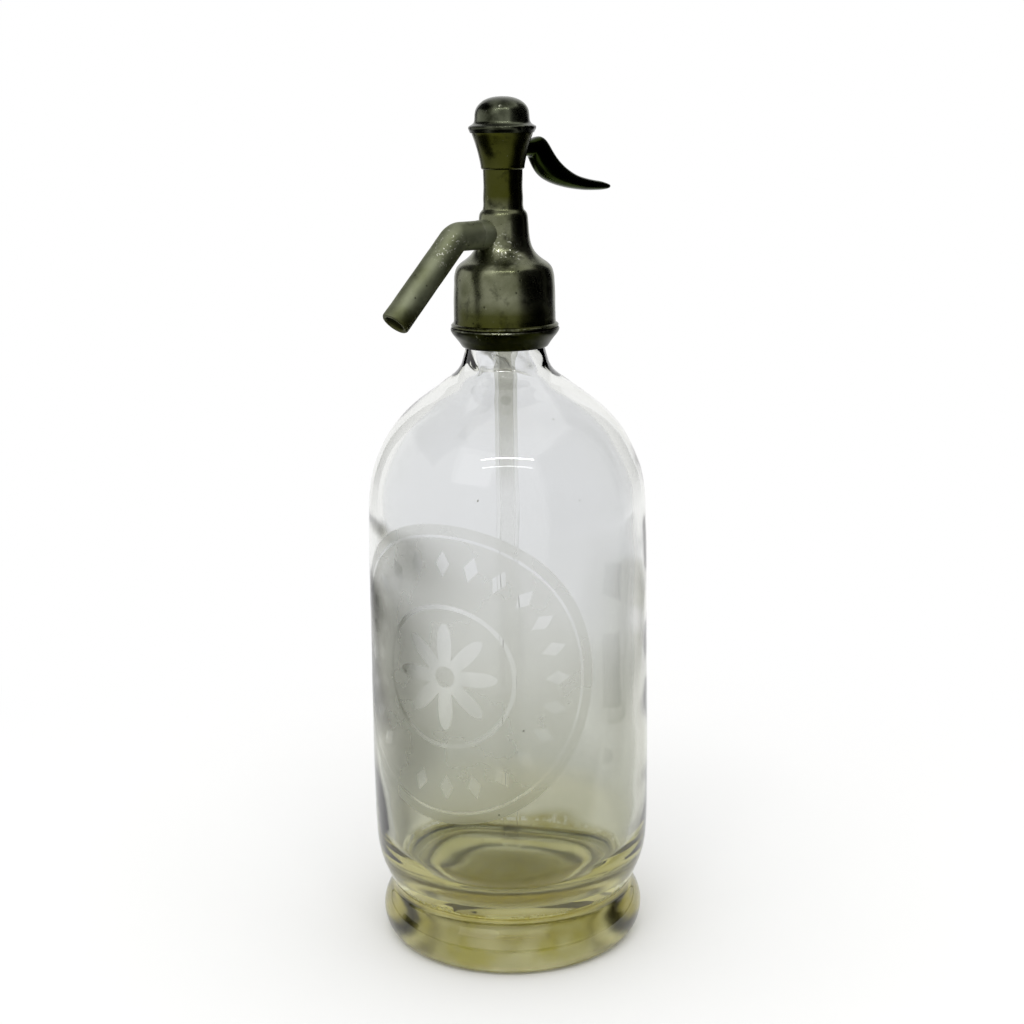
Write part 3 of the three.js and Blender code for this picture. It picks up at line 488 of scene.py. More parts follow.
def piece_of(name, points, faces, slot, replaced=(), body="bottle"):
    """A smooth-shaded closed piece from points in mm. Points in one place, as at a pole, become one."""
    mesh = bpy.data.meshes.new(name)
    places = np.asarray(points).reshape(-1, 3) * MM
    mesh.from_pydata(places.tolist(), [], np.asarray(faces).reshape(-1, 4).tolist())
    form = bmesh.new()
    form.from_mesh(mesh)
    bmesh.ops.remove_doubles(form, verts=form.verts, dist=SAME_PLACE)
    bmesh.ops.recalc_face_normals(form, faces=form.faces)
    form.to_mesh(mesh)
    form.free()
    mesh.shade_smooth()
    mesh.set_sharp_from_angle(angle=SHARP_FROM)
    mesh.materials.append(FINISHES[slot])
    piece = bpy.data.objects.new(name, mesh)
    bpy.context.scene.collection.objects.link(piece)
    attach(piece, body)
    if replaced:
        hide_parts(*replaced)
    return piece


def skin(name, grid, slot, replaced=(), body="bottle", closed=False):
    """The piece whose surface runs through grid[along, around]. If closed, the last row joins the first."""
    return piece_of(name, grid, grid_faces(*grid.shape[:2], closed), slot, replaced, body)


def turned(profile, angles, change=None):
    """Grid of a turned form: outline point (r, z) at angle a is (r cos a, r sin a, z), after change of r."""
    r, z = (np.asarray(profile)[:, k][:, None] for k in (0, 1))
    a = np.atleast_2d(angles)
    if change is not None:
        r = r + change(r, z, a)
    return np.stack([r * np.cos(a), r * np.sin(a), z + 0 * r + 0 * a], axis=-1)


def carried(centres, ways, radii, sides):
    """Grid of rings carried along a path in the XZ plane: centre + radius (cos a side + sin a Y).

    The side is square to the path's way in that plane.
    """
    c, w = np.asarray(centres, float), np.asarray(ways, float)
    r = np.asarray(radii, float).reshape(len(c), -1)
    a = round_about(sides)[None, :]
    x = c[:, :1] + w[:, 1:] * r * np.cos(a)
    z = c[:, 1:] - w[:, :1] * r * np.cos(a)
    return np.stack([x, r * np.sin(a), z], axis=-1)


def capped(grid):
    """The grid with a row at each end drawn in to the mean of its points, which closes that end."""
    ends = [np.broadcast_to(row.mean(0), row.shape)[None] for row in (grid[0], grid[-1])]
    return np.concatenate([ends[0], grid, ends[1]])


def round_about(count):
    """Equal angles round the axis, anticlockwise."""
    return np.arange(count) * 2 * math.pi / count


def waves(seed, count, most_turns, longest_z):
    """A mean of sines round and up the axis: sin(turns a + rise z + phase), all three by chance.

    The turns are whole, and wavelengths up the axis are from 0.3 to 1 times the longest.
    """
    chance = np.random.default_rng(seed)
    turns = chance.integers(1, most_turns + 1, count)
    rise = 2 * math.pi / (longest_z * chance.uniform(0.3, 1, count))
    phase = chance.uniform(0, 2 * math.pi, count)
    return lambda z, a: sum(np.sin(turns[k] * a + rise[k] * z + phase[k]) for k in range(count)) / count


def fades(value, low, high):
    """From 0 at low to 1 at high, smoothly."""
    t = np.clip((value - low) / (high - low), 0, 1)
    return t * t * (3 - 2 * t)


# Bottle and dip tube


def bottle_outline():
    """The glass from the middle of the hollow under the foot, up outside, over the mouth, down inside."""
    hollow = [(0, 9), (12, 8.6), (22, 7.2), (30, 4.9), (35, 2.4), (37.4, 0.5), (38.3, 0.05)]
    rest = [(38.3, 0.05), (43.4, 0.05)]
    foot = [(43.4, 0.05), (45.4, 0.5), (47.3, 1.9), (48.8, 4.2), (49.6, 6.8), (49.85, 9.5), (49.4, 12.2)]
    waist = [(48.4, 14.7), (47.1, 16.7), (46.0, 18.2), (45.6, 19.8), (45.7, 21.2), (46.1, 22.1)]
    lip = [(46.1, 22.1), (46.7, 22.5), (47.1, 23.0), (47.3, 23.6)]
    heel = [(47.3, 23.6), (48.6, 26.6), (50.3, 31), (51.5, 36.5), (52.05, 44)]
    wall = [(52.25, 58), (52.3, 75), (52.1, 95), (51.8, 125), (51.7, 150), (51.4, 162), (50.9, 172)]
    shoulder = [(49.5, 180), (46.95, 187), (43.75, 193), (40.0, 198), (36.3, 202), (31.8, 206), (27.7, 209)]
    root = [(24.9, 211), (22.3, 213), (19.5, 215), (17.35, 217), (16.1, 219), (15.3, 221.5)]
    neck = [(14.4, 225), (13.75, 229), (13.6, 232)]
    grip = [(13.6, 232), (13.6, 236.2)]
    bead = [(13.6, 236.2), (14.4, 236.5), (15, 237.4), (15, 241.4), (14.6, 242.2), (13.8, 242.45)]
    mouth = [(13.8, 242.45), (10.2, 242.45), (9.5, 242.2), (9.3, 241.5)]
    throat = [(9.3, 241.5), (9.3, 226), (9.7, 220), (11.2, 215.5), (14.4, 211.5), (18.8, 208.2)]
    dome = [(24.2, 204.6), (30.5, 199.8), (36.4, 193.8), (41.2, 186.8), (44.8, 177.6), (46.4, 168)]
    body = [(46.9, 158), (47.2, 130), (47.4, 95), (47.5, 62), (47.2, 47), (46.3, 40)]
    bowl = [(43.9, 33.8), (39.6, 29.4), (34.6, 26.6)]
    floor = [(34.6, 26.6), (32.2, 25.7), (30.2, 25.6), (27.5, 26.2), (24, 26.9), (14, 27.3), (0, 27.4)]
    outside = heel + wall + shoulder + root + neck
    inside = throat + dome + body + bowl
    return outline(hollow, rest, foot + waist, lip, outside, grip, bead, mouth, inside, floor, step=1.3)


# Where the walls are uneven, in mm: heights at which each change sets in and ends, radii between the walls
WALL_FROM, WALL_TO = (30, 48), (196, 212)
MID_WALL = (48.2, 49.4)
CHIP_HEIGHT, CHIP_BAND, CHIP_DEPTH = 23.2, 0.9, 0.7
CHIP_RADII = (46, 48.5)
THROAT_FROM, THROAT_TO = (202, 209), (226, 231)
THROAT_HEIGHTS, THROAT_RADII = [202, 213, 221, 231], [32, 17.7, 12.4, 11.5]


def chips_at_lip(r, z, a):
    """Depth of the chips: clipped tops of quick waves in a narrow band, deepest where two sines agree."""
    bite = waves(5, 26, 60, 60)
    lip = np.exp(-(((z - CHIP_HEIGHT) / CHIP_BAND) ** 2)) * (r > CHIP_RADII[0]) * (r < CHIP_RADII[1])
    often = np.clip(0.5 + 0.9 * np.sin(a + 0.3) * np.sin(3 * a + 1), 0.1, 1)
    return CHIP_DEPTH * lip * np.clip(bite(0 * z, a) * 3.2 - 0.25, 0, 1) * often


def blown_unevenness(r, z, a):
    """Change of radius by blowing and wear: slow waves in both walls, a lumpy throat and a chipped lip.

    The waves take up to 0.15 mm from the outer wall and move the inner one by up to 0.5 mm.
    """
    outer, inner, lumps = waves(3, 9, 5, 130), waves(8, 12, 6, 70), waves(14, 16, 8, 20)
    wall = fades(z, *WALL_FROM) * (1 - fades(z, *WALL_TO))
    within = 1 - fades(r, *MID_WALL)
    change = wall * 0.08 * (outer(z, a) - 1) * (1 - within) + wall * 0.7 * inner(z, a) * within
    throat = r < np.interp(z, THROAT_HEIGHTS, THROAT_RADII)
    lumpy = 0.8 * throat * fades(z, *THROAT_FROM) * (1 - fades(z, *THROAT_TO))
    return change - chips_at_lip(r, z, a) + lumpy * lumps(z, a)


# With 216 columns the piece stays under 200,000 triangles
skin(
    "bottle_glass",
    turned(bottle_outline(), round_about(216), blown_unevenness),
    "glass",
    ["bottle_foot", "bottle_wall", "bottle_shoulder", "bottle_neck"],
)

TUBE_OUTLINE = outline(
    [(2.6, 30.3), (3.2, 30), (3.9, 30.2), (4.1, 30.9)],
    [(4.1, 30.9), (4.1, 252.6)],
    [(4.1, 252.6), (4.9, 252.8), (5.3, 253.3), (5.2, 254), (4.6, 254.3), (2.9, 254.3), (2.6, 253.9)],
    [(2.6, 253.9), (2.6, 30.3)],
    step=3.0,
)
skin("glass_dip_tube", turned(TUBE_OUTLINE[:-1], round_about(48)), "tube_glass", ["dip_tube"], closed=True)


# Head casting

# The slot in the cup's wall: its size in mm, and the cells and rows of the grid that it takes
SLOT_HALF_WIDTH = 3.0
SLOT_CELLS = 8
SLOT_SILL = 291.3
SLOT_TOP = 299.0
SLOT_ROWS = 14
BELOW_SLOT = [289.3, 289.7, 290.1, 290.6]
FAR_COLUMNS = 112


def dented(seed, depth):
    """Shallow dents in outer walls, up to depth millimetres."""
    form = waves(seed, 14, 5, 22)
    return lambda r, z, a: -depth * np.clip(form(z, a) * 2.2, 0, 1) * (r > 7)


def bell_and_stem():
    """The casting's outside from the bell's lip up to the ledge under the cup."""
    bell = [(18.6, 234.0), (18.45, 234.8), (18.4, 237), (18.35, 243), (18.2, 247.5), (17.85, 251.5)]
    dome = [(17.1, 253.8), (15.8, 255.3), (14.1, 256.5), (12.4, 257.9), (11.1, 259.4), (10.1, 261.3)]
    throat = [(9.5, 263.5), (9.15, 266), (8.95, 269), (8.75, 271.6)]
    return outline(
        [(17.2, 232.7), (18.9, 232.62), (19.45, 232.8), (19.5, 233.2), (19.1, 233.7), (18.6, 234.0)],
        bell + dome + throat,
        [(8.75, 271.6), (8.55, 272.6), (8.0, 273.6), (7.4, 274.2)],
        [(7.4, 274.2), (7.2, 275), (7.12, 278), (7.05, 284), (7.05, 288.2)],
        [(7.05, 288.2), (7.4, 288.3), (7.78, 288.75), (7.8, 289.3)],
        step=0.6,
    )


def cup_wall():
    """The cup's outer curve, with equal rows from the slot's sill to its top."""
    flare = [(7.8, 289.3), (7.9, 290), (8.15, 291.3), (8.75, 294), (9.6, 297), (10.3, 299)]
    curve = through([*flare, (10.9, 300.8), (10.95, 301.2)], 0.3)
    levels = np.r_[BELOW_SLOT, np.linspace(SLOT_SILL, SLOT_TOP, SLOT_ROWS), 299.8, 300.6, 301.2]
    return np.stack([np.interp(levels, curve[:, 1], curve[:, 0]), levels], axis=-1)


def head_casting():
    """Outside and inside turned as one closed skin, with a slot through the cup's wall on the lever's side.

    Every row has columns at y = -3 and y = +3 mm, with a few between these and the rest round the far side.
    The slot's cells are left out of both walls, and four flat walls join the two openings.
    """
    cup, stem = cup_wall(), bell_and_stem()[:-1]
    cavity = np.stack([np.full(SLOT_ROWS, 6.4), np.linspace(SLOT_TOP, SLOT_SILL, SLOT_ROWS)], axis=-1)
    steps = [(9, 301.2), (9, SLOT_TOP)]
    guide = [(6.4, 290.5), (4.2, 290.5), (4.2, 270.6)]
    chamber = [(5, 270.6), (5, 256.7), (7, 256.7), (7, 245.1)]
    line = np.vstack([stem, cup, steps, cavity, guide, chamber, [(16.9, 245.1), (16.9, 232.9)]])
    half = np.arcsin(SLOT_HALF_WIDTH / np.maximum(line[:, 0], 4))[:, None]
    near = np.linspace(-1, 1, SLOT_CELLS + 1)[None, :] * half
    far = half + np.linspace(0, 1, FAR_COLUMNS + 1)[None, 1:-1] * (2 * math.pi - 2 * half)
    grid = turned(line, np.hstack([near, far]), dented(21, 0.12))
    outer = len(stem) + len(BELOW_SLOT) + np.arange(SLOT_ROWS)
    inner = len(stem) + len(cup) + len(steps) + np.arange(SLOT_ROWS)[::-1]
    faces = grid_faces(*grid.shape[:2], closed=True)
    kept = np.ones(faces.shape[:2], bool)
    kept[outer[:-1], :SLOT_CELLS] = False
    kept[inner[1:], :SLOT_CELLS] = False
    out, into, cells = outer * grid.shape[1], inner * grid.shape[1], np.arange(SLOT_CELLS)
    walls = [
        np.stack([out[:-1], into[:-1], into[1:], out[1:]], axis=-1),
        np.stack([into[:-1], out[:-1], out[1:], into[1:]], axis=-1) + SLOT_CELLS,
        np.stack([out[0] + cells, out[0] + cells + 1, into[0] + cells + 1, into[0] + cells], axis=-1),
        np.stack([into[-1] + cells, into[-1] + cells + 1, out[-1] + cells + 1, out[-1] + cells], axis=-1),
    ]
    return piece_of("pewter_head", grid, np.vstack([faces[kept], *walls]), "head_pewter", ["head_casting"])


head_casting()


# Collar

SPLIT_GAP = 0.3  # in mm, at SPLIT_RADIUS
SPLIT_RADIUS = 17


def collar_half(name, node, first, last):
    """Half of the split ring: its closed outline carried round between two angles in degrees, ends closed.

    The flange's outside is dented up to 0.12 mm deep by clipped waves.
    """
    cone = [(15.9, 226), (17.0, 227.6), (18.4, 229.3), (19.2, 230.4), (19.65, 231.3), (19.75, 231.9)]
    flange = outline(
        [(14.7, 225.5), (15.2, 225.25), (15.9, 226)],
        [*cone, (19.5, 232.25)],
        [(19.5, 232.25), (16.6, 232.3)],
        step=0.6,
    )
    sleeve = [(16.6, 240.8), (15.3, 240.8), (15.3, 236), (13.95, 236), (13.95, 230.5)]
    r, z = np.vstack([flange, sleeve]).T[:, None, :]
    gap = SPLIT_GAP / 2 / SPLIT_RADIUS
    a = np.linspace(math.radians(first) + gap, math.radians(last) - gap, 120)[:, None]
    outside = (z < 232) & (r > 16.2)
    r = r - 0.12 * np.clip(waves(33, 12, 9, 9)(z, a) * 2, 0, 1) * outside
    rings = np.stack([r * np.cos(a), r * np.sin(a), z + 0 * r], axis=-1)
    return skin(name, capped(rings), "collar_pewter", [node])


collar_half("pewter_collar_left", "collar_half_left", 135, 315)
collar_half("pewter_collar_right", "collar_half_right", -45, 135)


# Spout

# The spout in mm: the height of its level run, where it bends, how far it reaches and drops from there
SPOUT_AXIS = 265.7
SPOUT_SIDES = 72
SPOUT_CORNER = -21.8
SPOUT_BEND = 5.6
SPOUT_REACH = 49.7 - 21.8
SPOUT_DROP = 28.7
SPOUT_BORE = 3.5
BOSS_PLACES = [-5, -7.6, -8.8, -9.6, -10.4, -11.2, -12.5]
BOSS_RADII = [5.35, 5.35, 5.35, 5.35, 5.3, 5.25, 5.15]
LEVEL_PLACES = [-12.6, -12.8, -14.5, -16.5]
LIP_PLACES = [-0.85, -0.55, -0.42, -0.5, -0.85, -1.5]
LIP_RADII = [5.05, 4.8, 4.35, 3.85, 3.55, SPOUT_BORE]


def spout_boss():
    """The short round boss on the casting: rings along the spout's axis out of the throat."""
    centres = [(x, SPOUT_AXIS) for x in BOSS_PLACES]
    rings = carried(centres, [(-1, 0)] * len(centres), BOSS_RADII, SPOUT_SIDES)
    return skin("pewter_boss", capped(rings), "spout_pewter")


def spout():
    """Rings down the bent tube, over its lip and back up its bore: a level run, an arc and a straight fall.

    The arc touches both straights: corner + (start - bend sin t, bend cos t - bend), with t from 0 to the
    fall. Its start lies bend times the tangent of half the fall from the corner.
    """
    bend, corner = SPOUT_BEND, np.array([SPOUT_CORNER, SPOUT_AXIS])
    fall = math.atan2(SPOUT_DROP, SPOUT_REACH)
    length = math.hypot(SPOUT_DROP, SPOUT_REACH)
    start = bend * math.tan(fall / 2)
    turn = np.linspace(0, fall, 20)[:, None]
    slope = np.array([-math.cos(fall), -math.sin(fall)])
    level = np.array([(x, SPOUT_AXIS) for x in LEVEL_PLACES])
    arc = corner + np.hstack([start - bend * np.sin(turn), bend * np.cos(turn) - bend])
    run = corner + slope * np.linspace(start + 0.8, length - 1.2, 50)[:, None]
    lip = corner + slope * (length + np.array(LIP_PLACES))[:, None]
    centres = np.vstack([level, arc, run])
    turning = np.hstack([-np.cos(turn), -np.sin(turn)])
    ways = np.vstack([[(-1, 0)] * len(level), turning, [slope] * len(run)])
    back = slice(len(centres) - 2, 3, -3)
    row = np.arange(len(centres))
    outer = np.interp(row, [0, len(row) - 10, len(row) - 1], [5.12, 5.15, 5.2])[:, None]
    uneven = waves(12, 12, 4, 30)(row[:, None] * 0.7, round_about(SPOUT_SIDES)[None, :])
    dents = 0.1 * np.clip(uneven * 2, 0, 1)
    rounded = np.repeat(np.array(LIP_RADII)[:, None], SPOUT_SIDES, axis=1)
    bore = np.full((len(centres[back]), SPOUT_SIDES), SPOUT_BORE)
    grid = carried(
        np.vstack([centres, lip, centres[back]]),
        np.vstack([ways, [slope] * len(lip), ways[back]]),
        np.vstack([outer - dents, rounded, bore]),
        SPOUT_SIDES,
    )
    return skin("pewter_spout", grid, "spout_pewter", ["spout"], closed=True)


spout_boss()
spout()


# Cap

# The brim's edge, in mm: its height, half of the band that is nicked, and the depth of the nicks
BRIM_EDGE, NICKED_BAND, NICK_DEPTH = 302.6, 0.7, 0.25


def cap():
    """The domed screw cap: from the ceiling inside down to the skirt, then up over the brim and the dome.

    Clipped waves dent it and nick the brim's edge.
    """
    brim = [(11.15, 300.9), (11.3, 300.85), (11.55, 301.3), (11.85, 301.9), (12.05, 302.5), (12.05, 302.9)]
    dome = [(9.86, 305.2), (9.78, 306), (9.66, 307.6), (9.3, 309), (8.5, 310.4), (7.1, 311.7)]
    line = outline(
        [(0, 310.2), (6.4, 310.2)],
        [(6.4, 310.2), (7, 308.6)],
        [(7, 308.6), (7, 299.4)],
        [(7, 299.4), (8.7, 299.4)],
        [(8.7, 299.4), (8.7, 302.6)],
        [(8.7, 302.6), (11.2, 302.6)],
        [(11.2, 302.6), (11.15, 300.9)],
        [*brim, (11.8, 303.25)],
        [(11.8, 303.25), (11.1, 303.65), (10.45, 304.05), (10.05, 304.6), (9.86, 305.2)],
        [*dome, (5.1, 312.72), (2.6, 313.32), (0, 313.5)],
        step=0.35,
    )
    nick, dent = waves(17, 20, 40, 9), dented(9, 0.14)

    def worn(r, z, a):
        rim = np.exp(-(((z - BRIM_EDGE) / NICKED_BAND) ** 2)) * (r > 11.5)
        return dent(r, z, a) - NICK_DEPTH * rim * np.clip(nick(0 * z, a) * 3 - 0.35, 0, 1)

    return skin("pewter_cap", turned(line, round_about(160), worn), "cap_pewter", ["cap"])


cap()


# Lever and return spring

# Upper edge (x, z), lower edge (x, z) and width, from the nose in the spindle's window to the tip
LEVER_STATIONS = [
    [(-1.2, 295.5), (-1.2, 295.3), 0.4],
    [(-1.0, 296.4), (-1.0, 294.4), 2.2],
    [(-0.4, 296.9), (-0.4, 293.9), 3.3],
    [(0.6, 297.0), (0.6, 293.8), 3.6],
    [(4.5, 297.0), (4.5, 293.8), 3.6],
    [(5.9, 298.3), (5.9, 292.5), 5.4],
    [(8.0, 298.3), (8.0, 292.5), 5.4],
    [(11.2, 298.35), (11.2, 292.5), 5.5],
    [(13.4, 298.7), (12.9, 292.2), 5.7],
    [(15.3, 299.2), (13.5, 291.2), 6.0],
    [(17.1, 299.4), (14.0, 290.0), 6.2],
    [(18.8, 298.8), (14.9, 288.4), 6.4],
    [(20.3, 297.4), (16.4, 286.5), 6.7],
    [(22.0, 295.1), (18.6, 284.7), 6.8],
    [(24.1, 292.4), (21.8, 283.1), 6.8],
    [(26.8, 289.8), (25.4, 281.9), 6.7],
    [(30.2, 287.4), (29.6, 280.9), 6.6],
    [(34.5, 285.3), (34.4, 280.1), 6.3],
    [(38.6, 284.1), (38.8, 279.6), 6.0],
    [(43.0, 283.2), (43.2, 279.4), 5.8],
    [(47.2, 282.5), (47.4, 279.4), 5.4],
    [(49.6, 281.8), (49.7, 279.6), 4.7],
    [(51.0, 281.35), (51.0, 279.95), 3.2],
    [(51.45, 280.95), (51.45, 280.3), 1.6],
    [(51.55, 280.65), (51.55, 280.6), 0.1],
]


SOFT_SQUARE = 0.8  # 1 gives an ellipse, and less a fuller section


def lever():
    """A section at each of many stations: powers of cos a and sin a make it a soft square."""
    knots = np.array([[*upper, *lower, wide] for upper, lower, wide in LEVER_STATIONS])
    root = [through(knots[:4], 0.3)[:-1], through(knots[3:5], 1)[:-1], through(knots[4:6], 0.5)[:-1]]
    line = np.vstack([*root, through(knots[5:], 0.7)])
    a = round_about(48)[None, :]
    up = np.sign(np.cos(a)) * np.abs(np.cos(a)) ** SOFT_SQUARE
    side = np.sign(np.sin(a)) * np.abs(np.sin(a)) ** SOFT_SQUARE
    upper, lower, wide = line[:, :2], line[:, 2:4], line[:, 4:]
    middle, half = (upper + lower) / 2, (upper - lower) / 2
    x = middle[:, :1] + half[:, :1] * up
    z = middle[:, 1:] + half[:, 1:] * up
    grid = np.stack([x, wide / 2 * side, z], axis=-1)
    return skin("pewter_lever", capped(grid), "lever_pewter", ["lever"], body="lever")


COIL_TURNS = 4
COIL_RADIUS = 5.4
COIL_FOOT = 301.8
COIL_HEIGHT = 7.5
WIRE_RADIUS = 0.6


def return_spring():
    """A coil of wire: rings square to the helix (radius cos t, radius sin t, foot + rise t)."""
    t = np.linspace(0, COIL_TURNS * 2 * math.pi, 220)[:, None]
    rise = COIL_HEIGHT / (COIL_TURNS * 2 * math.pi)
    centre = np.hstack([COIL_RADIUS * np.cos(t), COIL_RADIUS * np.sin(t), COIL_FOOT + rise * t])[:, None, :]
    outward = np.hstack([np.cos(t), np.sin(t), 0 * t])[:, None, :]
    way = np.hstack([-COIL_RADIUS * np.sin(t), COIL_RADIUS * np.cos(t), rise + 0 * t])[:, None, :]
    upward = np.cross(way / np.linalg.norm(way, axis=-1, keepdims=True), outward)
    a = round_about(12)[None, :, None]
    rings = centre + WIRE_RADIUS * (np.cos(a) * outward + np.sin(a) * upward)
    spring = skin("steel_return_spring", capped(rings), "steel", ["return_spring"])
    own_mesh(spring)


lever()
return_spring()


# Studio


def white_to_the_lens(tree, dim, bright):
    """Dim for matte rays, and bright where the camera, a gloss or the glass looks straight at it."""
    ray = add(tree, "LightPath").outputs
    seen = add(tree, "Math", {0: ray["Is Camera Ray"], 1: ray["Is Glossy Ray"]}, operation="MAXIMUM")
    seen = add(tree, "Math", {0: seen, 1: ray["Is Transmission Ray"]}, operation="MAXIMUM")
    return add(tree, "MapRange", {0: seen, "To Min": dim, "To Max": bright})


def studio_sheet(name, points, faces, material):
    """A flat piece of the studio, which is no part of the siphon."""
    mesh = bpy.data.meshes.new(name)
    mesh.from_pydata(np.asarray(points).tolist(), [], faces)
    mesh.materials.append(material)
    sheet = bpy.data.objects.new(name, mesh)
    bpy.context.scene.collection.objects.link(sheet)
    return sheet


STUDIO_SIDES = 64
FLOOR_RADIUS = 8
PAPER_FADE = (0.12, 0.4)  # in metres from the axis: paper within the first, plain white beyond the second


def studio_floor():
    """A wide disc of pale paper: matte under the bottle, where it keeps the shadow, and white further out."""
    material, tree, place = new_material("pale_paper")
    paper = add(tree, "BsdfDiffuse", {"Color": shade("#fafaf9")})
    out = add(tree, "VectorMath", {0: place}, operation="LENGTH").outputs["Value"]
    fade = {0: out, "From Min": PAPER_FADE[0], "From Max": PAPER_FADE[1]}
    out = add(tree, "MapRange", fade, interpolation_type="SMOOTHSTEP")
    far = add(tree, "Math", {0: out, 1: white_to_the_lens(tree, 0, 1)}, operation="MULTIPLY")
    white = add(tree, "Emission", {"Color": shade("#ffffff"), "Strength": 1.0})
    surface = add(tree, "MixShader", {0: far, 1: paper, 2: white})
    add(tree, "OutputMaterial", {"Surface": surface})
    a = round_about(STUDIO_SIDES)
    rim = np.stack([FLOOR_RADIUS * np.cos(a), FLOOR_RADIUS * np.sin(a), 0 * a], axis=-1)
    floor = studio_sheet("studio_floor", rim, [list(range(STUDIO_SIDES))], material)


# The table in metres: the way that it lies, half of its light strip, its rims and where its tone fades
TABLE_AZIMUTH = math.radians(140)
STRIP_HALF = 0.04
TABLE_RIMS = (0.062, 0.75)
TABLE_NEAR = (0.4, 0.12)
TABLE_FAR = (0.45, 0.75)


def table_behind():
    """A table top over the floor, seen only through the glass: a glowing grey sheet painted with the room's
    light and shade, light behind it, darker on the left and darkest near the bottle.

    Its tone follows the angle by which a place on it lies aside of the strip straight behind the bottle.
    """
    material, tree, place = new_material("table_light_and_shade")
    away = (math.sin(TABLE_AZIMUTH), -math.cos(TABLE_AZIMUTH), 0)
    right = (away[1], -away[0], 0)
    behind = add(tree, "VectorMath", {0: place, 1: away}, operation="DOT_PRODUCT").outputs["Value"]
    beside = add(tree, "VectorMath", {0: place, 1: right}, operation="DOT_PRODUCT").outputs["Value"]
    strip = {0: beside, "From Min": -STRIP_HALF, "From Max": STRIP_HALF}
    strip = add(tree, "MapRange", {**strip, "To Min": -STRIP_HALF, "To Max": STRIP_HALF})
    aside = add(tree, "Math", {0: beside, 1: strip}, operation="SUBTRACT")
    angle = add(tree, "Math", {0: aside, 1: behind}, operation="ARCTAN2")
    angle = add(tree, "MapRange", {0: angle, "From Min": -1.0, "From Max": 1.0})
    # Painted light and shade of the room: white straight behind the bottle, grey to the left
    tone = add(
        tree,
        "ValToRGB",
        {0: angle},
        stops=[
            (0.1, "#e0e0da"),
            (0.22, "#90908a"),
            (0.4, "#94948c"),
            (0.485, "#ffffff"),
            (0.53, "#ffffff"),
            (0.62, "#eeeeea"),
            (0.8, "#e6e6e0"),
            (0.9, "#eeeeea"),
        ],
    )
    # Painted shade, darker near the bottle
    out = add(tree, "VectorMath", {0: place}, operation="LENGTH").outputs["Value"]
    fade = {0: out, "From Min": TABLE_NEAR[0], "From Max": TABLE_NEAR[1], "To Max": 0.3}
    shade_near_bottle = add(tree, "MapRange", fade)
    tone = add(tree, "Mix", {0: shade_near_bottle, 6: tone, 7: shade("#8c8c86")}, data_type="RGBA")
    fade = {0: out, "From Min": TABLE_FAR[0], "From Max": TABLE_FAR[1]}
    far = add(tree, "MapRange", fade, interpolation_type="SMOOTHSTEP")
    tone = add(tree, "Mix", {0: far, 6: tone, 7: shade("#ffffff")}, data_type="RGBA")
    add(tree, "OutputMaterial", {"Surface": add(tree, "Emission", {"Color": tone, "Strength": 1.0})})
    a = round_about(STUDIO_SIDES)
    rim = np.stack([np.cos(a), np.sin(a), 0 * a], axis=-1)
    rings = np.stack([rim * TABLE_RIMS[0], rim * TABLE_RIMS[1]]) + np.array([0, 0, MM])
    faces = grid_faces(2, STUDIO_SIDES).reshape(-1, 4).tolist()
    table = studio_sheet("table_behind", rings.reshape(-1, 3), faces, material)
    table.visible_camera = False
    table.visible_diffuse = False
    table.visible_glossy = False
    table.visible_shadow = False


SOFT_FROM = 0.7
WALLS_OF_FOOT = 2.5  # a ray crosses two surfaces in the solid foot, and four in the hollow bottle above it


def card(name, tone, azimuth, near, far, width, low, high, through_glass=False):
    """A dark card beside the bottle, unseen by the camera: gloss shows it as a dark band, as in a studio.

    Its low edge is near metres out and its high edge far metres out: it stands where these agree, and else
    it lies. It thins out over the outer 30 % to each edge, so that its reflections have soft edges. Where
    it shows through glass, it does so through the solid foot and not through the hollow above.
    """
    way = np.array([math.sin(math.radians(azimuth)), -math.cos(math.radians(azimuth)), 0])
    side = np.array([-way[1], way[0], 0]) * width / 2
    foot, top = way * near + np.array([0, 0, low]), way * far + np.array([0, 0, high])
    material, tree, place = new_material(name)
    off = add(tree, "VectorMath", {0: place, 1: (foot + top) / 2}, operation="SUBTRACT")
    reach = []
    for edge in (side, (top - foot) / 2):
        along = add(tree, "VectorMath", {0: off, 1: edge / (edge @ edge)}, operation="DOT_PRODUCT")
        reach.append(add(tree, "Math", {0: along.outputs["Value"]}, operation="ABSOLUTE"))
    reach = add(tree, "Math", {0: reach[0], 1: reach[1]}, operation="MAXIMUM")
    fade = {0: reach, "From Min": SOFT_FROM, "From Max": 1.0}
    faded = add(tree, "MapRange", fade, interpolation_type="SMOOTHSTEP")
    walls = add(tree, "LightPath").outputs["Transmission Depth"]
    hollow = add(tree, "Math", {0: walls, 1: WALLS_OF_FOOT}, operation="GREATER_THAN")
    faded = add(tree, "Math", {0: faded, 1: hollow}, operation="MAXIMUM")
    cloth = add(tree, "BsdfDiffuse", {"Color": shade(tone)})
    surface = add(tree, "MixShader", {0: faded, 1: cloth, 2: add(tree, "BsdfTransparent")})
    add(tree, "OutputMaterial", {"Surface": surface})
    corners = [foot - side, foot + side, top + side, top - side]
    sheet = studio_sheet(name, corners, [(0, 1, 2, 3)], material)
    sheet.visible_camera = False
    sheet.visible_diffuse = False
    sheet.visible_shadow = False
    sheet.visible_transmission = through_glass


LAMPS_FACE = Vector((0, 0, 0.15))


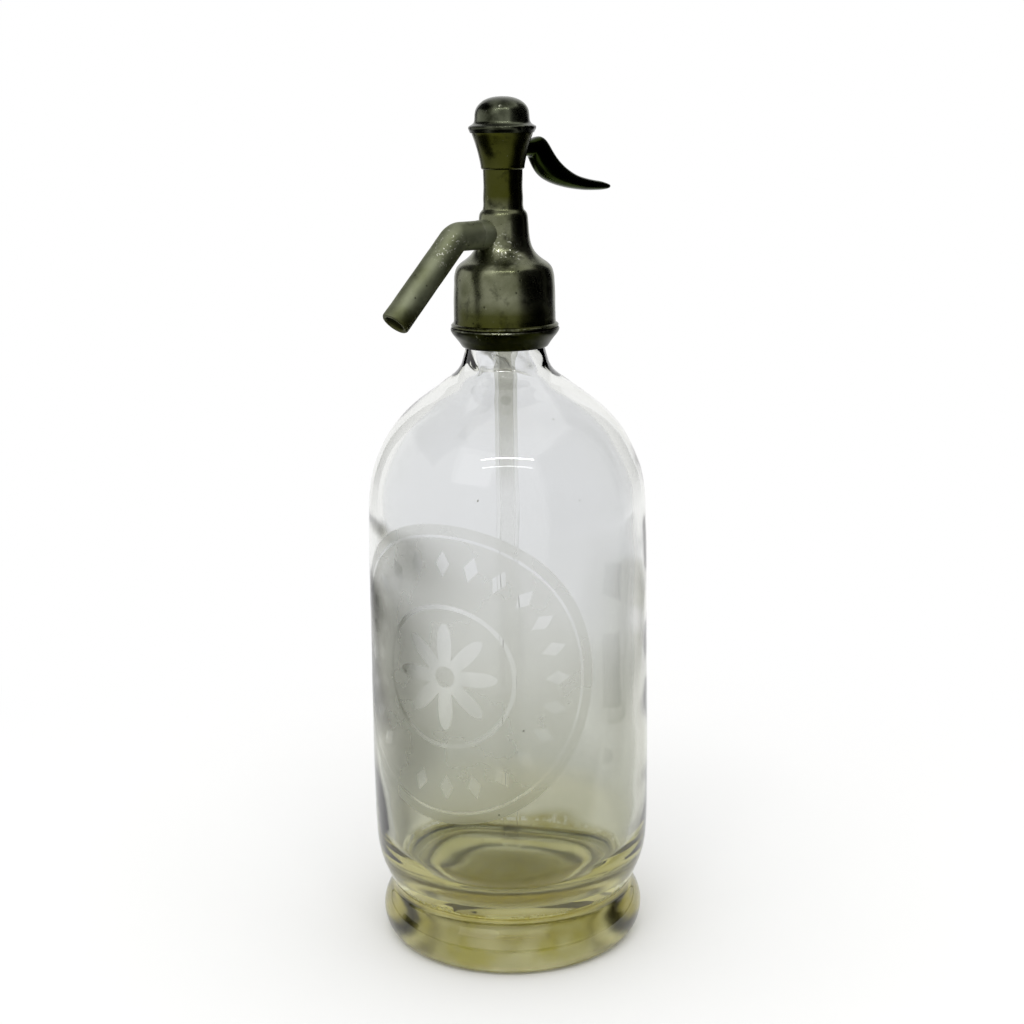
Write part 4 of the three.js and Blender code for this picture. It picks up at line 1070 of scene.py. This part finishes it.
def lamp(name, azimuth, elevation, distance, width, height, watts):
    """A soft box that faces the bottle's middle."""
    data = bpy.data.lights.new(name, "AREA")
    data.shape = "RECTANGLE"
    data.size = width
    data.size_y = height
    data.energy = watts
    box = bpy.data.objects.new(name, data)
    a, e = math.radians(azimuth), math.radians(elevation)
    way = Vector((math.sin(a) * math.cos(e), -math.cos(a) * math.cos(e), math.sin(e)))
    facing = way.to_track_quat("Z", "Y").to_matrix().to_4x4()
    box.matrix_world = Matrix.Translation(way * distance + LAMPS_FACE) @ facing
    bpy.context.scene.collection.objects.link(box)


def white_surroundings():
    """The world, white to the lens and a little dimmer as light on matte surfaces."""
    world = bpy.data.worlds.new("studio")
    world.use_nodes = True
    tree = world.node_tree
    tree.nodes.clear()
    white = {"Color": shade("#ffffff"), "Strength": white_to_the_lens(tree, 0.94, 1.0)}
    add(tree, "OutputWorld", {"Surface": add(tree, "Background", white)})
    bpy.context.scene.world = world


studio_floor()
table_behind()
card("card_right", "#030303", 30, 0.55, 0.55, 0.98, -0.05, 1.0)
card("card_far_right", "#050505", 84, 0.55, 0.55, 0.43, 0.05, 1.0)
card("card_left", "#050505", -178, 0.55, 0.55, 0.18, 0.05, 1.0)
card("card_left_high", "#050505", -140, 0.61, 0.37, 0.7, 0.53, 1.0)
card("card_right_low", "#050505", 52, 0.3, 0.3, 0.13, -0.01, 0.07, through_glass=True)
card("card_left_low", "#050505", -133, 0.3, 0.3, 0.13, -0.01, 0.07, through_glass=True)
card("cloth_front", "#050505", -40, 0.07, 0.36, 0.58, MM, MM)
card("cloth_right", "#050505", 57, 0.26, 0.86, 0.92, MM, MM)
card("cloth_left", "#050505", -137, 0.26, 0.86, 0.92, MM, MM)
lamp("key", -75, 42, 1.6, 0.9, 0.9, 1.8)
lamp("fill", 0, 55, 1.8, 1.2, 1.2, 0.8)
lamp("strip", -40, 52, 1.5, 1.1, 0.03, 3.6)
white_surroundings()
bpy.context.scene.view_settings.view_transform = "Standard"
